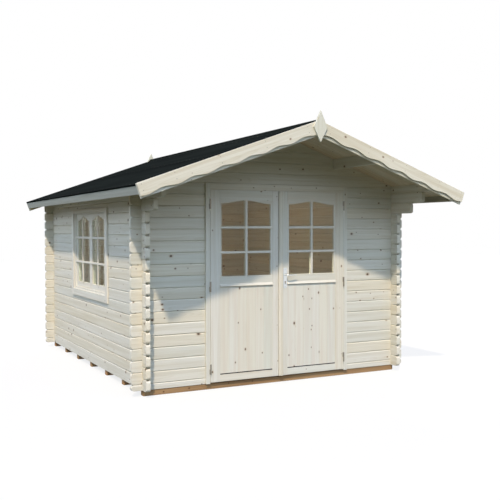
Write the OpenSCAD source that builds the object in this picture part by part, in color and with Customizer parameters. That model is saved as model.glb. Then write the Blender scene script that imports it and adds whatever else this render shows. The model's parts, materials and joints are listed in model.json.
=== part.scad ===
// Log cabin of interlocking planed logs, with a double door in the front gable wall, one
// double-sash window in the left wall and a felted gable roof that reaches far over the door.
// Millimetres, +Z up, +X to the right, +Y to the back. The origin is at the middle of the plan,
// on the underside of the floor joists.

/* [Plan] */
// Distance between the centre lines of the two side walls
wall_w = 2960; // [2600:20:3400]
// Distance between the centre lines of the front and back walls
wall_d = 3570; // [3000:30:4400]
// Height of the side walls, which is rounded to whole courses of logs
wall_h = 1938; // [1800:6:2400]

/* [Logs] */
// Thickness of a wall log
log_t = 44; // [34:1:60]
// Height that one course of logs adds
course_h = 114; // [100:1:140]
// Open joint between one log and the next
joint_gap = 0.6; // [0.4:0.1:1.5]
// How far a log runs past the face of the wall that it crosses
log_reach = 110; // [70:5:140]
// Bevel on the long edges of a log
log_bevel = 7; // [3:1:10]
// Radius on the corners of a log's end, which a log of little height limits
end_round = 28; // [8:1:36]
// Clearance on each side of a corner notch or a purlin seat
notch_fit = 0.4; // [0.2:0.1:1]
// How far the lower bracket course runs in front of the front wall's centre line
bracket_reach = 350; // [260:10:400]
// How much further the bracket course above it runs
bracket_step = 195; // [120:5:240]

/* [Floor] */
// Number of joists under the cabin
joist_count = 7; // [4:1:9]
// Length of a joist
joist_len = 2980; // [2700:20:3400]
// Width of a joist
joist_w = 70; // [50:2:100]
// Height of a joist
joist_h = 58; // [40:1:90]
// How far the end joists lie behind the outer faces of the front and back walls
joist_in = 7; // [0:1:12]
// Thickness of the floor boards
floor_t = 18; // [14:1:28]
// Gap between the floor boards and the inside of the walls
floor_gap = 25; // [23:1:40]

/* [Roof] */
// Slope of the roof
roof_pitch = 19.5; // [15:0.5:26]
// Height of the wall plate's outer edge above the last full course
plate_h = 64; // [45:1:90]
// Length of the roof slope from the ridge to the eave
slope_l = 1919; // [1800:5:2100]
// Distance from the front wall's centre line to the face of the bargeboards
front_overhang = 800; // [740:10:1000]
// Distance from the back wall's centre line to the face of the bargeboards
back_overhang = 205; // [170:5:400]
// Thickness of the roof boards
deck_t = 19; // [15:1:26]
// Thickness of the roofing felt
felt_t = 4; // [2:0.5:6]
// Thickness of a purlin
purlin_t = 44; // [36:1:60]
// Height of a purlin along its middle
purlin_h = 100; // [80:2:140]
// Distance from the ridge to the middle of a side purlin
purlin_x = 700; // [500:10:900]
// Height of the eave boards
fascia_h = 90; // [60:2:120]
// Thickness of the eave boards
fascia_t = 18; // [14:1:24]

/* [Bargeboards] */
// Thickness of a bargeboard
barge_t = 18; // [14:1:24]
// How far the bargeboards stand above the felt
barge_lip = 8; // [3:1:15]
// Mean depth of the scalloped front boards
scallop_depth = 112; // [90:1:130]
// Height of the scallops above and below that mean
scallop_rise = 10.5; // [4:0.5:14]
// Length of one scallop along the board
scallop_pitch = 299; // [200:1:400]
// Distance down the left slope from the ridge to a deepest place of the scallops
left_scallop = 60; // [0:1:290]
// The same distance down the right slope
right_scallop = 24; // [0:1:290]
// Depth of the straight boards behind them and at the back
backing_depth = 135; // [128:1:180]
// Height of the upper part of a finial
finial_top = 162; // [100:1:190]
// Height of the lower part of a finial
finial_tail = 143; // [100:1:200]
// Width of a finial
finial_w = 152; // [100:2:200]
// Height of the finial's widest place above the ridge of the bargeboards
finial_drop = -67; // [-80:1:-20]

/* [Door] */
// Width of the two door leaves together
door_w = 1586; // [1300:2:1700]
// Height of a door leaf
door_h = 1918; // [1800:1:1960]
// Thickness of a door leaf
leaf_t = 40; // [34:1:48]
// Running gap around the leaves
leaf_gap = 6; // [5:0.5:8]
// Running gap between the two leaves
meet_gap = 7; // [6.5:0.5:10]
// Gap between the leaves and the joist under them
sill_gap = 12; // [8:1:20]
// Width of a door jamb beside its leaf
jamb_w = 44; // [36:1:60]
// Smallest height of the door head above the leaves
head_min = 40; // [30:1:80]
// How far the door frame stands out on both faces of the wall
frame_proud = 22; // [14:1:22]
// Width of the stops behind the leaves
stop_w = 18; // [12:1:25]
// Clearance between the leaves and what lies behind them
stop_gap = 5; // [5:0.5:8]
// Height of the threshold behind the leaves
threshold_h = 34; // [24:1:60]
// Width of the glass in each leaf
door_glass_w = 560; // [400:5:580]
// Height of the bottom of the glass above the bottom of the leaf
door_glass_z = 1055; // [1000:5:1200]
// Height of the glass at its sides
door_glass_h = 730; // [500:5:760]
// Rise of the arch over the glass
door_arch = 33; // [15:1:60]
// Distance from the leaf's hinge edge to its glass
door_stile = 123; // [100:1:140]
// Width of the boarded panel in each leaf
panel_w = 600; // [450:5:620]
// Height of the bottom of the panel above the bottom of the leaf
panel_z = 75; // [60:1:140]
// Height of the panel
panel_h = 878; // [700:2:900]
// Thickness of the panel boards
panel_t = 20; // [14:1:26]
// How far the panel lies behind the face of its leaf
panel_set = 4; // [1:1:8]
// Height of the weather bar over the panel
drip_h = 28; // [16:1:40]
// How far the weather bar stands out
drip_out = 11; // [5:1:18]
// Height of the weather bar's front edge
drip_edge = 3; // [1:1:6]
// Thickness of the window and door panes
glass_t = 4; // [3:1:8]
// Width of the cover strip on the right leaf
strip_w = 45; // [30:1:60]
// Thickness of the cover strip
strip_t = 16; // [10:1:22]

/* [Ironwork] */
// Radius of a hinge knuckle
knuckle_r = 7; // [6:0.5:9]
// Length of one hinge knuckle
knuckle_l = 50; // [40:1:60]
// Radius of a hinge pin
pin_r = 4; // [3:0.5:5]
// Radial clearance around a pin
pin_fit = 0.05; // [0.03:0.01:0.1]
// Thickness of the closed top of the upper knuckle
knuckle_cap = 7; // [4:1:10]
// Gap between the top of a pin and the closed top over it
pin_play = 1; // [0.5:0.5:3]
// Gap between the two knuckles of a hinge, and between a hinge and the wood behind it
hinge_gap = 0.3; // [0.2:0.1:0.8]
// Height of the lowest hinge's middle above the bottom of the leaf
hinge_low = 133; // [100:1:200]
// Distance from the top of the leaf to the highest hinge's middle
hinge_high = 140; // [100:1:200]
// Width of a hinge lug beside its knuckle
lug_w = 11; // [9:1:20]
// Thickness of a hinge lug
lug_t = 2.5; // [2:0.5:4]
// Width of the lock plate
plate_w = 42; // [36:1:50]
// Height of the lock plate
plate_l = 212; // [180:2:240]
// Thickness of the lock plate
plate_t = 3; // [2:0.5:5]
// Height of the lock plate's middle above the bottom of the leaf
plate_z = 1018; // [900:2:1200]
// Gap between the cover strip and the lock plate
plate_gap = 10; // [2:1:14]
// Height of the lever's spindle above the middle of the lock plate
lever_z = 32; // [10:1:60]
// Length of the lever from its spindle to its tip
lever_l = 118; // [80:1:130]
// Radius of the lever
lever_r = 8; // [6:0.5:10]
// Distance from the plate to the middle of the lever
lever_out = 48; // [36:1:60]
// Radius of the spindle in the plate
spindle_r = 8; // [5:0.5:9]
// Clearance around the spindle inside the leaf
spindle_room = 2; // [1:0.5:4]
// Length of the spindle inside the leaf
spindle_in = 12; // [8:1:20]
// Wall of the round boss that carries the spindle
boss_wall = 3; // [2:0.5:5]
// Height of the boss above the lock plate
boss_h = 6; // [3:1:12]

/* [Window] */
// Place of the window's middle along the wall, from the middle of the wall
window_y = -15; // [-400:5:400]
// Height of the bottom of the window's hole above the bottom of the walls
window_z = 798; // [700:2:900]
// Width of each sash
sash_w = 620; // [450:5:640]
// Height of each sash
sash_h = 875; // [700:5:900]
// Thickness of each sash
sash_t = 40; // [30:1:50]
// Width of a sash's side rails
sash_stile = 55; // [40:1:80]
// Height of a sash's bottom rail
sash_rail = 64; // [50:1:90]
// Height of the window glass at its sides
window_glass_h = 727; // [500:1:740]
// Rise of the arch over the window glass
window_arch = 50; // [20:1:60]
// How far the sashes lie behind the face of the wall
sash_set = 17; // [5:1:24]
// How far the glass lies behind the face of the wall
glass_set = 29; // [27:1:40]
// Clearance around the sashes
sash_fit = 0.5; // [0.3:0.1:2]
// Width of the window frame's side bars
bar_w = 40; // [30:1:60]
// Height of the window frame's sill bar
sill_h = 49; // [40:1:70]
// How far the window frame stands out inside
frame_in = 10; // [4:1:20]
// Width of the casing boards around the window
casing_w = 80; // [60:1:100]
// Height of the casing board over the window
casing_top = 41; // [36:1:90]
// Thickness of the casing boards
casing_t = 19; // [10:1:22]
// How much of the frame's side bars shows inside the casing
reveal = 30; // [10:1:38]
// How much of the frame shows above the sashes
reveal_z = 13; // [6:1:30]
// How much more of the frame shows below the sashes than above them
reveal_sill = 14; // [0:1:20]

/* [Hidden] */

// Clearance between pieces that are fixed to each other
seat = 0.3;
// How far a cutting shape runs past the faces that it cuts
cut = 1;
// Largest radius on a log's end, as a share of the log's height
round_share = 0.49;
// Number of straight steps in a rounded log corner, in an arch and in one scallop
round_steps = 5;
arch_steps = 24;
scallop_steps = 12;
// Smoothness of the round ironwork
$fn = 48;

// Colours
spruce = [0.87, 0.83, 0.75];
pale_spruce = [0.90, 0.87, 0.81];
treated = [0.66, 0.49, 0.33];
felt_black = [0.13, 0.14, 0.15];
iron = [0.36, 0.36, 0.37];
silver = [0.76, 0.78, 0.80];
pane_tint = [0.45, 0.40, 0.33, 0.6];

// Walls: the half-height log at the bottom of the front and back walls shifts their courses by
// half a course against those of the side walls, so that the corner notches interlock
base_z = joist_h;
side_x = wall_w / 2;
end_y = wall_d / 2;
outer_x = side_x + log_t / 2;
outer_y = end_y + log_t / 2;
end_run = log_t / 2 + log_reach;
notch_z = course_h / 4;

// Door hole: it ends at the first joint of the front wall that leaves room for the head
leaf_z = sill_gap;
leaf_top = leaf_z + door_h;
hole_courses = ceil((leaf_top + leaf_gap + head_min) / course_h - 0.5);
door_hole_z = (hole_courses + 0.5) * course_h;
door_half = door_w / 2;
jamb_x = door_half + leaf_gap;
hole_x = jamb_x + jamb_w + seat;
face_y = -outer_y - frame_proud;
back_leaf_y = face_y + leaf_t;
frame_in_y = -end_y + log_t / 2 + frame_proud;

// Side walls: wall_h in whole courses, or as many more as a tall door needs to pass under the
// side purlins, whose underside is purlin_rise above the last full course
tilt = tan(roof_pitch);
purlin_rise = plate_h + tilt * (outer_x - purlin_x) - purlin_h;
side_courses = max(round(wall_h / course_h), ceil((door_hole_z - purlin_rise) / course_h));
plate_z0 = side_courses * course_h;

// Roof: the tops of the walls and purlins lie in two slopes that start at the outer edge of the
// wall plates, and the boards lie a seat above them
under_z0 = plate_z0 + plate_h + tilt * outer_x;
function under_z(x) = under_z0 - tilt * abs(x);
deck_z0 = under_z0 + seat;
barge_n = deck_t + felt_t + barge_lip;
barge_z0 = deck_z0 + barge_n / cos(roof_pitch);
front_y = -end_y - front_overhang;
back_y = end_y + back_overhang;
deck_y0 = front_y + 2 * barge_t + 2 * seat;
deck_y1 = back_y - barge_t - seat;
deck_l = slope_l - fascia_t - seat;

// Last course of the gables, which the roof cuts to a point
gable_last = ceil(under_z0 / course_h - 0.5);

// Window
window_x = -outer_x;
window_hole_h = sill_h + 2 * sash_fit + sash_h + bar_w;
window_hole_w = 2 * (sash_w + 1.5 * sash_fit + bar_w);
sash_z = window_z + sill_h + sash_fit;
sash_xs = [-(sash_w + sash_fit) / 2, (sash_w + sash_fit) / 2];

// Door leaves: the left edge of the right leaf carries the cover strip
strip_x = -strip_w / 2 + meet_gap;
left_leaf_x1 = strip_x - meet_gap;
hinge_x = door_half + leaf_gap / 2;
hinge_y = face_y - knuckle_r - hinge_gap;
hinge_zs = [
    leaf_z + hinge_low,
    leaf_z + (hinge_low + door_h - hinge_high) / 2,
    leaf_top - hinge_high
];
door_glass_x = door_half - door_stile - door_glass_w / 2;
plate_x = strip_x + strip_w + plate_gap + plate_w / 2;
plate_cz = leaf_z + plate_z;
lever_cz = plate_cz + lever_z;

// ---- Logs ----

// Points of a rounded corner about [cx, cz], from angle a0 to angle a1
function arc(cx, cz, r, a0, a1) = [
    for (i = [0 : round_steps])
        let (a = a0 + (a1 - a0) * i / round_steps) [cx + r * cos(a), cz + r * sin(a)]
];

// Side view of a log from x0 to x1: notches is a list of places with a corner notch, low and high
// say how deep the notches are cut, r0 and r1 are the radii on its two ends
function log_view(x0, x1, h, notches, low, high, r0, r1) = concat(
    r0 > 0 ? arc(x0 + r0, r0, r0, 180, 270) : [[x0, 0]],
    low > 0 ? [
        for (c = notches)
            each [
                [c - log_t / 2 - notch_fit, 0],
                [c - log_t / 2 - notch_fit, low],
                [c + log_t / 2 + notch_fit, low],
                [c + log_t / 2 + notch_fit, 0]
            ]
    ] : [],
    r1 > 0 ? arc(x1 - r1, r1, r1, 270, 360) : [[x1, 0]],
    r1 > 0 ? arc(x1 - r1, h - r1, r1, 0, 90) : [[x1, h]],
    high > 0 ? [
        for (i = [len(notches) - 1 : -1 : 0])
            let (c = notches[i])
                each [
                    [c + log_t / 2 + notch_fit, h],
                    [c + log_t / 2 + notch_fit, h - high],
                    [c - log_t / 2 - notch_fit, h - high],
                    [c - log_t / 2 - notch_fit, h]
                ]
    ] : [],
    r0 > 0 ? arc(x0 + r0, h - r0, r0, 90, 180) : [[x0, h]]
);

// End view of a log: a board with bevelled long edges, or with square ones below where it lies
// on the joists
function log_end(h, on_joists) = concat(
    on_joists
        ? [[-log_t / 2, 0], [log_t / 2, 0]]
        : [
            [-log_t / 2, log_bevel],
            [-log_t / 2 + log_bevel, 0],
            [log_t / 2 - log_bevel, 0],
            [log_t / 2, log_bevel]
        ],
    [
        [log_t / 2, h - log_bevel],
        [log_t / 2 - log_bevel, h],
        [-log_t / 2 + log_bevel, h],
        [-log_t / 2, h - log_bevel]
    ]
);

// Log along X, of height h, with its underside at z
module log(x0, x1, z, h, notches, low, high, r0, r1) {
    r_max = round_share * h;
    translate([0, 0, base_z + z])
        intersection() {
            translate([x0, 0, 0])
                rotate([90, 0, 90])
                    linear_extrude(x1 - x0)
                        polygon(log_end(h, z == 0));
            rotate([90, 0, 0])
                linear_extrude(2 * log_t, center = true)
                    polygon(log_view(x0, x1, h, notches, low, high, min(r0, r_max), min(r1, r_max)));
        }
}

// Full log of a side wall, course k counted from 1, laid along X and turned by side_wall()
module side_log(k) {
    reach = k < side_courses - 1 ? end_run : bracket_reach + (k - side_courses + 1) * bracket_step;
    log(
        -end_y - reach, end_y + end_run, (k - 1) * course_h, course_h - joint_gap,
        [-end_y, end_y], notch_z, notch_z - joint_gap, end_round, end_round
    );
}

// Wall plate on top of a left side wall, bevelled to the slope of the roof
module plate_log() {
    low = [
        [-log_t / 2, log_bevel],
        [-log_t / 2 + log_bevel, 0],
        [log_t / 2 - log_bevel, 0],
        [log_t / 2, log_bevel],
        [log_t / 2, plate_h + tilt * log_t],
        [-log_t / 2, plate_h]
    ];
    translate([-side_x, 0, base_z + plate_z0])
        difference() {
            translate([0, deck_y1, 0])
                rotate([90, 0, 0])
                    linear_extrude(deck_y1 - deck_y0)
                        polygon(low);
            for (y = [-end_y, end_y])
                translate([-log_t, y - log_t / 2 - notch_fit, -cut])
                    cube([2 * log_t, log_t + 2 * notch_fit, notch_z + cut]);
        }
}

module side_wall() {
    translate([-side_x, 0, 0])
        rotate([0, 0, 90])
            for (k = [1 : side_courses])
                side_log(k);
    plate_log();
}

// Course j of the front or back wall from x0 to x1; course 0 is the half-height log, and the
// first course over a side wall is number side_courses + 1
module end_log(j, x0, x1, r0, r1, notches) {
    z = j == 0 ? 0 : (j - 0.5) * course_h;
    h = (j == 0 ? 0.5 : 1) * course_h - joint_gap;
    low = j == 0 ? 0 : notch_z;
    log(x0, x1, z, h, notches, low, notch_z - joint_gap, r0, r1);
}

// Space under the roof boards
module under_roof() {
    far = side_x + 2 * end_run;
    translate([0, wall_d, base_z])
        rotate([90, 0, 0])
            linear_extrude(2 * wall_d)
                polygon([[-far, 0], [far, 0], [far, under_z(far)], [0, under_z0], [-far, under_z(far)]]);
}

// Seats that the purlins need in a gable
module purlin_seats() {
    grow = notch_fit;
    for (x = [-purlin_x, 0, purlin_x])
        translate([x - purlin_t / 2 - grow, -wall_d, base_z + purlin_z(x) - joint_gap])
            cube([purlin_t + 2 * grow, 2 * wall_d, course_h + purlin_h]);
}

// Logs right across the front or back wall, from course first up to the last one that the side
// walls carry
module full_logs(first) {
    intersection() {
        for (j = [first : 1 : side_courses])
            end_log(
                j, -side_x - end_run, side_x + end_run, end_round, end_round,
                [-side_x, side_x]
            );
        under_roof();
    }
}

// Logs of a gable between the side walls, from course first up to the ridge
module gable(first) {
    inner = side_x - log_t / 2 - notch_fit;
    difference() {
        intersection() {
            for (j = [first : gable_last])
                end_log(j, -inner, inner, 0, 0, []);
            under_roof();
        }
        purlin_seats();
    }
}

// ---- Roof ----

// Underside of a purlin whose middle is x from the ridge
function purlin_z(x) = under_z(x) - purlin_h;

module purlin(x) {
    half = purlin_t / 2;
    tops = x == 0
        ? [[half, under_z(half)], [0, under_z0], [-half, under_z(half)]]
        : [[x + half, under_z(x + half)], [x - half, under_z(x - half)]];
    translate([0, deck_y1, base_z])
        rotate([90, 0, 0])
            linear_extrude(deck_y1 - deck_y0)
                polygon(concat([[x - half, purlin_z(x)], [x + half, purlin_z(x)]], tops));
}

// Turns an outline drawn along the right slope into a slab from y0 to y1. Its x runs down the
// slope from the ridge, and its y is the height over the underside of the roof boards.
module slope_slab(outline, y0, y1) {
    translate([0, y1, base_z + deck_z0])
        rotate([0, roof_pitch, 0])
            rotate([90, 0, 0])
                linear_extrude(y1 - y0)
                    polygon(outline);
}

// Place along the slope of the upright joint at the ridge, at height n
function ridge_s(n) = -n * tilt + seat / 2;

function layer(n0, n1, s1) = [[ridge_s(n0), n0], [s1, n0], [s1, n1], [ridge_s(n1), n1]];

module roof_boards() {
    slope_slab(layer(0, deck_t, deck_l), deck_y0, deck_y1);
}

module roof_felt() {
    slope_slab(layer(deck_t, deck_t + felt_t, deck_l), deck_y0, deck_y1);
}

module eave_board() {
    top = deck_t + felt_t;
    s0 = deck_l + seat;
    slope_slab(
        [[s0, top - fascia_h], [s0 + fascia_t, top - fascia_h], [s0 + fascia_t, top], [s0, top]],
        deck_y0, deck_y1
    );
}

// Depth of the scalloped board at s down the slope from a deepest place
function scallop(s) = scallop_depth + scallop_rise * cos(360 * s / scallop_pitch);

// Scalloped board whose edge is deepest at start down the slope
module front_bargeboard(start) {
    n0 = barge_n - scallop((scallop_depth - barge_n) * tilt - start);
    s0 = ridge_s(n0);
    count = floor((slope_l - s0) * scallop_steps / scallop_pitch);
    waves = [
        for (i = [1 : count])
            let (s = s0 + i * scallop_pitch / scallop_steps)
                [s, barge_n - scallop(s - start)]
    ];
    outline = concat(
        [[ridge_s(barge_n), barge_n], [s0, n0]],
        waves,
        [[slope_l, barge_n - scallop(slope_l - start)], [slope_l, barge_n]]
    );
    slope_slab(outline, front_y, front_y + barge_t);
}

// Straight board whose top edge is at height top over the underside of the roof boards
module straight_bargeboard(y0, top) {
    slope_slab(layer(barge_n - backing_depth, top, slope_l), y0, y0 + barge_t);
}

module finial(y0) {
    translate([0, y0 + barge_t, base_z + barge_z0 + finial_drop])
        rotate([90, 0, 0])
            linear_extrude(barge_t)
                polygon([[0, -finial_tail], [finial_w / 2, 0], [0, finial_top], [-finial_w / 2, 0]]);
}

// ---- Door ----

// Opening w wide and h high at its sides, under an arch that rises in an S from each side
function arched(w, h, rise) = concat(
    [[-w / 2, 0], [w / 2, 0]],
    [
        for (i = [0 : arch_steps])
            let (x = w / 2 - w * i / arch_steps)
                [x, h + rise * (1 + cos(360 * x / w)) / 2]
    ]
);

// Draws an outline upright in the XZ plane, as a sheet from y0 to y1
module upright(y0, y1) {
    translate([0, y1, 0])
        rotate([90, 0, 0])
            linear_extrude(y1 - y0)
                children();
}

// One door leaf from x0 to x1 whose glass is centred on xc
module door_leaf(x0, x1, xc) {
    translate([0, 0, base_z + leaf_z])
        difference() {
            union() {
                upright(face_y, back_leaf_y)
                    translate([x0, 0])
                        square([x1 - x0, door_h]);
                translate([xc - panel_w / 2, face_y, panel_z + panel_h])
                    rotate([90, 0, 90])
                        linear_extrude(panel_w)
                            polygon([
                                [cut, 0], [-drip_out, 0], [-drip_out, drip_edge], [0, drip_h],
                                [cut, drip_h]
                            ]);
            }
            translate([xc, 0, 0])
                upright(face_y - cut, back_leaf_y + cut) {
                    translate([0, door_glass_z])
                        polygon(arched(door_glass_w, door_glass_h, door_arch));
                    translate([-panel_w / 2, panel_z])
                        square([panel_w, panel_h]);
                }
            children();
        }
}

module door_panel(xc) {
    translate([xc, 0, base_z + leaf_z + panel_z])
        upright(face_y + panel_set, face_y + panel_set + panel_t)
            translate([-panel_w / 2 + seat, seat])
                square([panel_w - 2 * seat, panel_h - 2 * seat]);
}

module door_pane(xc) {
    y = face_y + (leaf_t - glass_t) / 2;
    translate([xc, 0, base_z + leaf_z + door_glass_z + seat])
        upright(y, y + glass_t)
            polygon(arched(door_glass_w - 2 * seat, door_glass_h - 2 * seat, door_arch));
}

// Lower half of a hinge: knuckle, pin and the lug on the jamb of the right-hand door
module hinge_pin(z) {
    translate([hinge_x, hinge_y, base_z + z - knuckle_l]) {
        cylinder(r = knuckle_r, h = knuckle_l - hinge_gap / 2);
        cylinder(r = pin_r, h = 2 * knuckle_l - knuckle_cap - pin_play);
        translate([0, knuckle_r - lug_t, 0])
            cube([lug_w, lug_t, knuckle_l - hinge_gap / 2]);
    }
}

// Upper half of a hinge: the bored knuckle and the lug on the right-hand leaf
module hinge_socket(z) {
    translate([hinge_x, hinge_y, base_z + z + hinge_gap / 2])
        difference() {
            union() {
                cylinder(r = knuckle_r, h = knuckle_l);
                translate([-lug_w, knuckle_r - lug_t, 0])
                    cube([lug_w, lug_t, knuckle_l]);
            }
            translate([0, 0, -cut])
                cylinder(r = pin_r + pin_fit, h = knuckle_l - knuckle_cap + cut);
        }
}

// Jamb on the right of the door, with its stop behind the leaf
module right_jamb() {
    stop_y = back_leaf_y + stop_gap;
    translate([0, 0, base_z])
        linear_extrude(door_hole_z - seat)
            polygon([
                [jamb_x, face_y],
                [jamb_x + jamb_w, face_y],
                [jamb_x + jamb_w, frame_in_y],
                [jamb_x - leaf_gap - stop_w, frame_in_y],
                [jamb_x - leaf_gap - stop_w, stop_y],
                [jamb_x, stop_y]
            ]);
}

// ---- Window, drawn upright in the XZ plane about x = 0 and turned into the left wall ----

module in_left_wall() {
    translate([window_x, window_y, base_z])
        rotate([0, 0, -90])
            children();
}

module sash_outline(delta) {
    polygon(arched(sash_w - 2 * sash_stile - 2 * delta, window_glass_h - 2 * delta, window_arch));
}

// ---- Nodes ----

module floor_joists() {
    y0 = -outer_y + joist_in;
    step = (-2 * y0 - joist_w) / (joist_count - 1);
    color(treated)
        for (i = [0 : joist_count - 1])
            translate([-joist_len / 2, y0 + i * step, 0])
                cube([joist_len, joist_w, joist_h]);
}

module floor_boards() {
    w = wall_w - log_t - 2 * floor_gap;
    d = wall_d - log_t - 2 * floor_gap;
    color(pale_spruce)
        translate([-w / 2, -d / 2, base_z])
            cube([w, d, floor_t]);
}

module left_wall_logs() {
    color(spruce)
        difference() {
            side_wall();
            translate([window_x - log_t, window_y - window_hole_w / 2 - seat, base_z + window_z])
                cube([3 * log_t, window_hole_w + 2 * seat, window_hole_h + seat]);
        }
}

module right_wall_logs() {
    color(spruce)
        mirror([1, 0, 0])
            side_wall();
}

module back_wall_logs() {
    color(spruce)
        translate([0, end_y, 0])
            full_logs(0);
}

module front_wall_right_logs() {
    color(spruce)
        translate([0, -end_y, 0])
            intersection() {
                for (j = [0 : hole_courses])
                    end_log(j, hole_x, side_x + end_run, 0, end_round, [side_x]);
                under_roof();
            }
}

module front_wall_left_logs() {
    mirror([1, 0, 0])
        front_wall_right_logs();
}

module front_gable_logs() {
    color(spruce)
        translate([0, -end_y, 0]) {
            full_logs(hole_courses + 1);
            gable(max(hole_courses, side_courses) + 1);
        }
}

module back_gable_logs() {
    color(spruce)
        translate([0, end_y, 0])
            gable(side_courses + 1);
}

module ridge_purlin() {
    color(spruce)
        purlin(0);
}

module side_purlins() {
    color(spruce) {
        purlin(purlin_x);
        mirror([1, 0, 0])
            purlin(purlin_x);
    }
}

module right_roof_boards() {
    color(pale_spruce)
        roof_boards();
}

module left_roof_boards() {
    mirror([1, 0, 0])
        right_roof_boards();
}

module right_roof_felt() {
    color(felt_black)
        roof_felt();
}

module left_roof_felt() {
    mirror([1, 0, 0])
        right_roof_felt();
}

module right_eave_board() {
    color(pale_spruce)
        eave_board();
}

module left_eave_board() {
    mirror([1, 0, 0])
        right_eave_board();
}

module right_front_bargeboard() {
    color(pale_spruce)
        front_bargeboard(right_scallop);
}

module left_front_bargeboard() {
    color(pale_spruce)
        mirror([1, 0, 0])
            front_bargeboard(left_scallop);
}

module right_barge_backing() {
    color(pale_spruce)
        straight_bargeboard(front_y + barge_t + seat, barge_n);
}

module left_barge_backing() {
    mirror([1, 0, 0])
        right_barge_backing();
}

module right_back_bargeboard() {
    color(pale_spruce)
        straight_bargeboard(back_y - barge_t, deck_t + felt_t);
}

module left_back_bargeboard() {
    mirror([1, 0, 0])
        right_back_bargeboard();
}

module front_finial() {
    color(pale_spruce)
        finial(front_y - barge_t - seat);
}

module back_finial() {
    color(pale_spruce)
        finial(back_y + seat);
}

module door_jambs() {
    color(pale_spruce) {
        right_jamb();
        mirror([1, 0, 0])
            right_jamb();
    }
}

module door_head() {
    w = 2 * (jamb_x - seat);
    stop_y = back_leaf_y + stop_gap;
    z0 = leaf_top + leaf_gap;
    z1 = leaf_top - stop_w;
    inner = 2 * (jamb_x - leaf_gap - stop_w - seat);
    color(pale_spruce)
        translate([0, 0, base_z]) {
            translate([-w / 2, face_y, z0])
                cube([w, stop_y - face_y, door_hole_z - seat - z0]);
            translate([-inner / 2, stop_y, z1])
                cube([inner, frame_in_y - stop_y, door_hole_z - seat - z1]);
        }
}

module door_threshold() {
    w = 2 * (jamb_x - leaf_gap - stop_w - seat);
    y = back_leaf_y + stop_gap;
    color(pale_spruce)
        translate([-w / 2, y, base_z])
            cube([w, frame_in_y - y, threshold_h]);
}

module right_hinge_pins() {
    color(iron)
        for (z = hinge_zs)
            hinge_pin(z);
}

module left_hinge_pins() {
    mirror([1, 0, 0])
        right_hinge_pins();
}

module right_hinge_sockets() {
    color(iron)
        for (z = hinge_zs)
            hinge_socket(z);
}

module left_hinge_sockets() {
    mirror([1, 0, 0])
        right_hinge_sockets();
}

module window_frame() {
    inner_w = window_hole_w - 2 * bar_w;
    color(pale_spruce)
        in_left_wall()
            upright(0, log_t + frame_in)
                difference() {
                    translate([-window_hole_w / 2, window_z])
                        square([window_hole_w, window_hole_h]);
                    translate([-inner_w / 2, window_z + sill_h])
                        square([inner_w, sash_h + 2 * sash_fit]);
                }
}

module window_casing() {
    w = window_hole_w - 2 * (bar_w - reveal);
    z0 = sash_z - reveal_z - reveal_sill - casing_w;
    z1 = sash_z + sash_h + reveal_z;
    color(pale_spruce)
        in_left_wall()
            upright(-casing_t - seat, -seat) {
                translate([-w / 2 - casing_w, z0])
                    square([casing_w, z1 + casing_top - z0]);
                translate([w / 2, z0])
                    square([casing_w, z1 + casing_top - z0]);
                translate([-w / 2 + seat, z0])
                    square([w - 2 * seat, casing_w]);
                translate([-w / 2 + seat, z1])
                    square([w - 2 * seat, casing_top]);
            }
}

module window_sashes() {
    color(pale_spruce)
        in_left_wall()
            for (x = sash_xs)
                upright(sash_set, sash_set + sash_t)
                    difference() {
                        translate([x - sash_w / 2, sash_z])
                            square([sash_w, sash_h]);
                        translate([x, sash_z + sash_rail])
                            sash_outline(0);
                    }
}

module window_panes() {
    color(pane_tint)
        in_left_wall()
            for (x = sash_xs)
                upright(glass_set, glass_set + glass_t)
                    translate([x, sash_z + sash_rail + seat])
                        sash_outline(seat);
}

module left_door_leaf() {
    color(pale_spruce)
        door_leaf(-door_half, left_leaf_x1, -door_glass_x);
}

module right_door_leaf() {
    color(pale_spruce)
        door_leaf(strip_x, door_half, door_glass_x) {
            translate([plate_x, face_y + leaf_t / 2, lever_cz - leaf_z])
                rotate([90, 0, 0])
                    cylinder(r = spindle_r + spindle_room, h = leaf_t);
        }
}

module left_door_panel() {
    color(spruce)
        door_panel(-door_glass_x);
}

module right_door_panel() {
    color(spruce)
        door_panel(door_glass_x);
}

module left_door_pane() {
    color(pane_tint)
        door_pane(-door_glass_x);
}

module right_door_pane() {
    color(pane_tint)
        door_pane(door_glass_x);
}

module door_cover_strip() {
    color(pale_spruce)
        translate([strip_x, face_y - strip_t - seat, base_z + leaf_z])
            cube([strip_w, strip_t, door_h]);
}

module door_lock_plate() {
    boss_r = spindle_r + boss_wall;
    color(silver)
        translate([plate_x, face_y - seat, base_z + plate_cz])
            difference() {
                union() {
                    translate([-plate_w / 2, -plate_t, -plate_l / 2])
                        cube([plate_w, plate_t, plate_l]);
                    translate([0, 0, lever_z])
                        rotate([90, 0, 0])
                            cylinder(r = boss_r, h = plate_t + boss_h);
                }
                translate([0, cut, lever_z])
                    rotate([90, 0, 0])
                        cylinder(r = spindle_r + pin_fit, h = plate_t + boss_h + 2 * cut);
            }
}

module door_lever() {
    color(silver)
        translate([plate_x, face_y, base_z + lever_cz]) {
            translate([0, spindle_in, 0])
                rotate([90, 0, 0])
                    cylinder(r = spindle_r, h = spindle_in + lever_out);
            translate([0, -lever_out, 0]) {
                sphere(r = lever_r);
                rotate([0, 90, 0])
                    cylinder(r = lever_r, h = lever_l - lever_r);
                translate([lever_l - lever_r, 0, 0])
                    sphere(r = lever_r);
            }
        }
}

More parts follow.
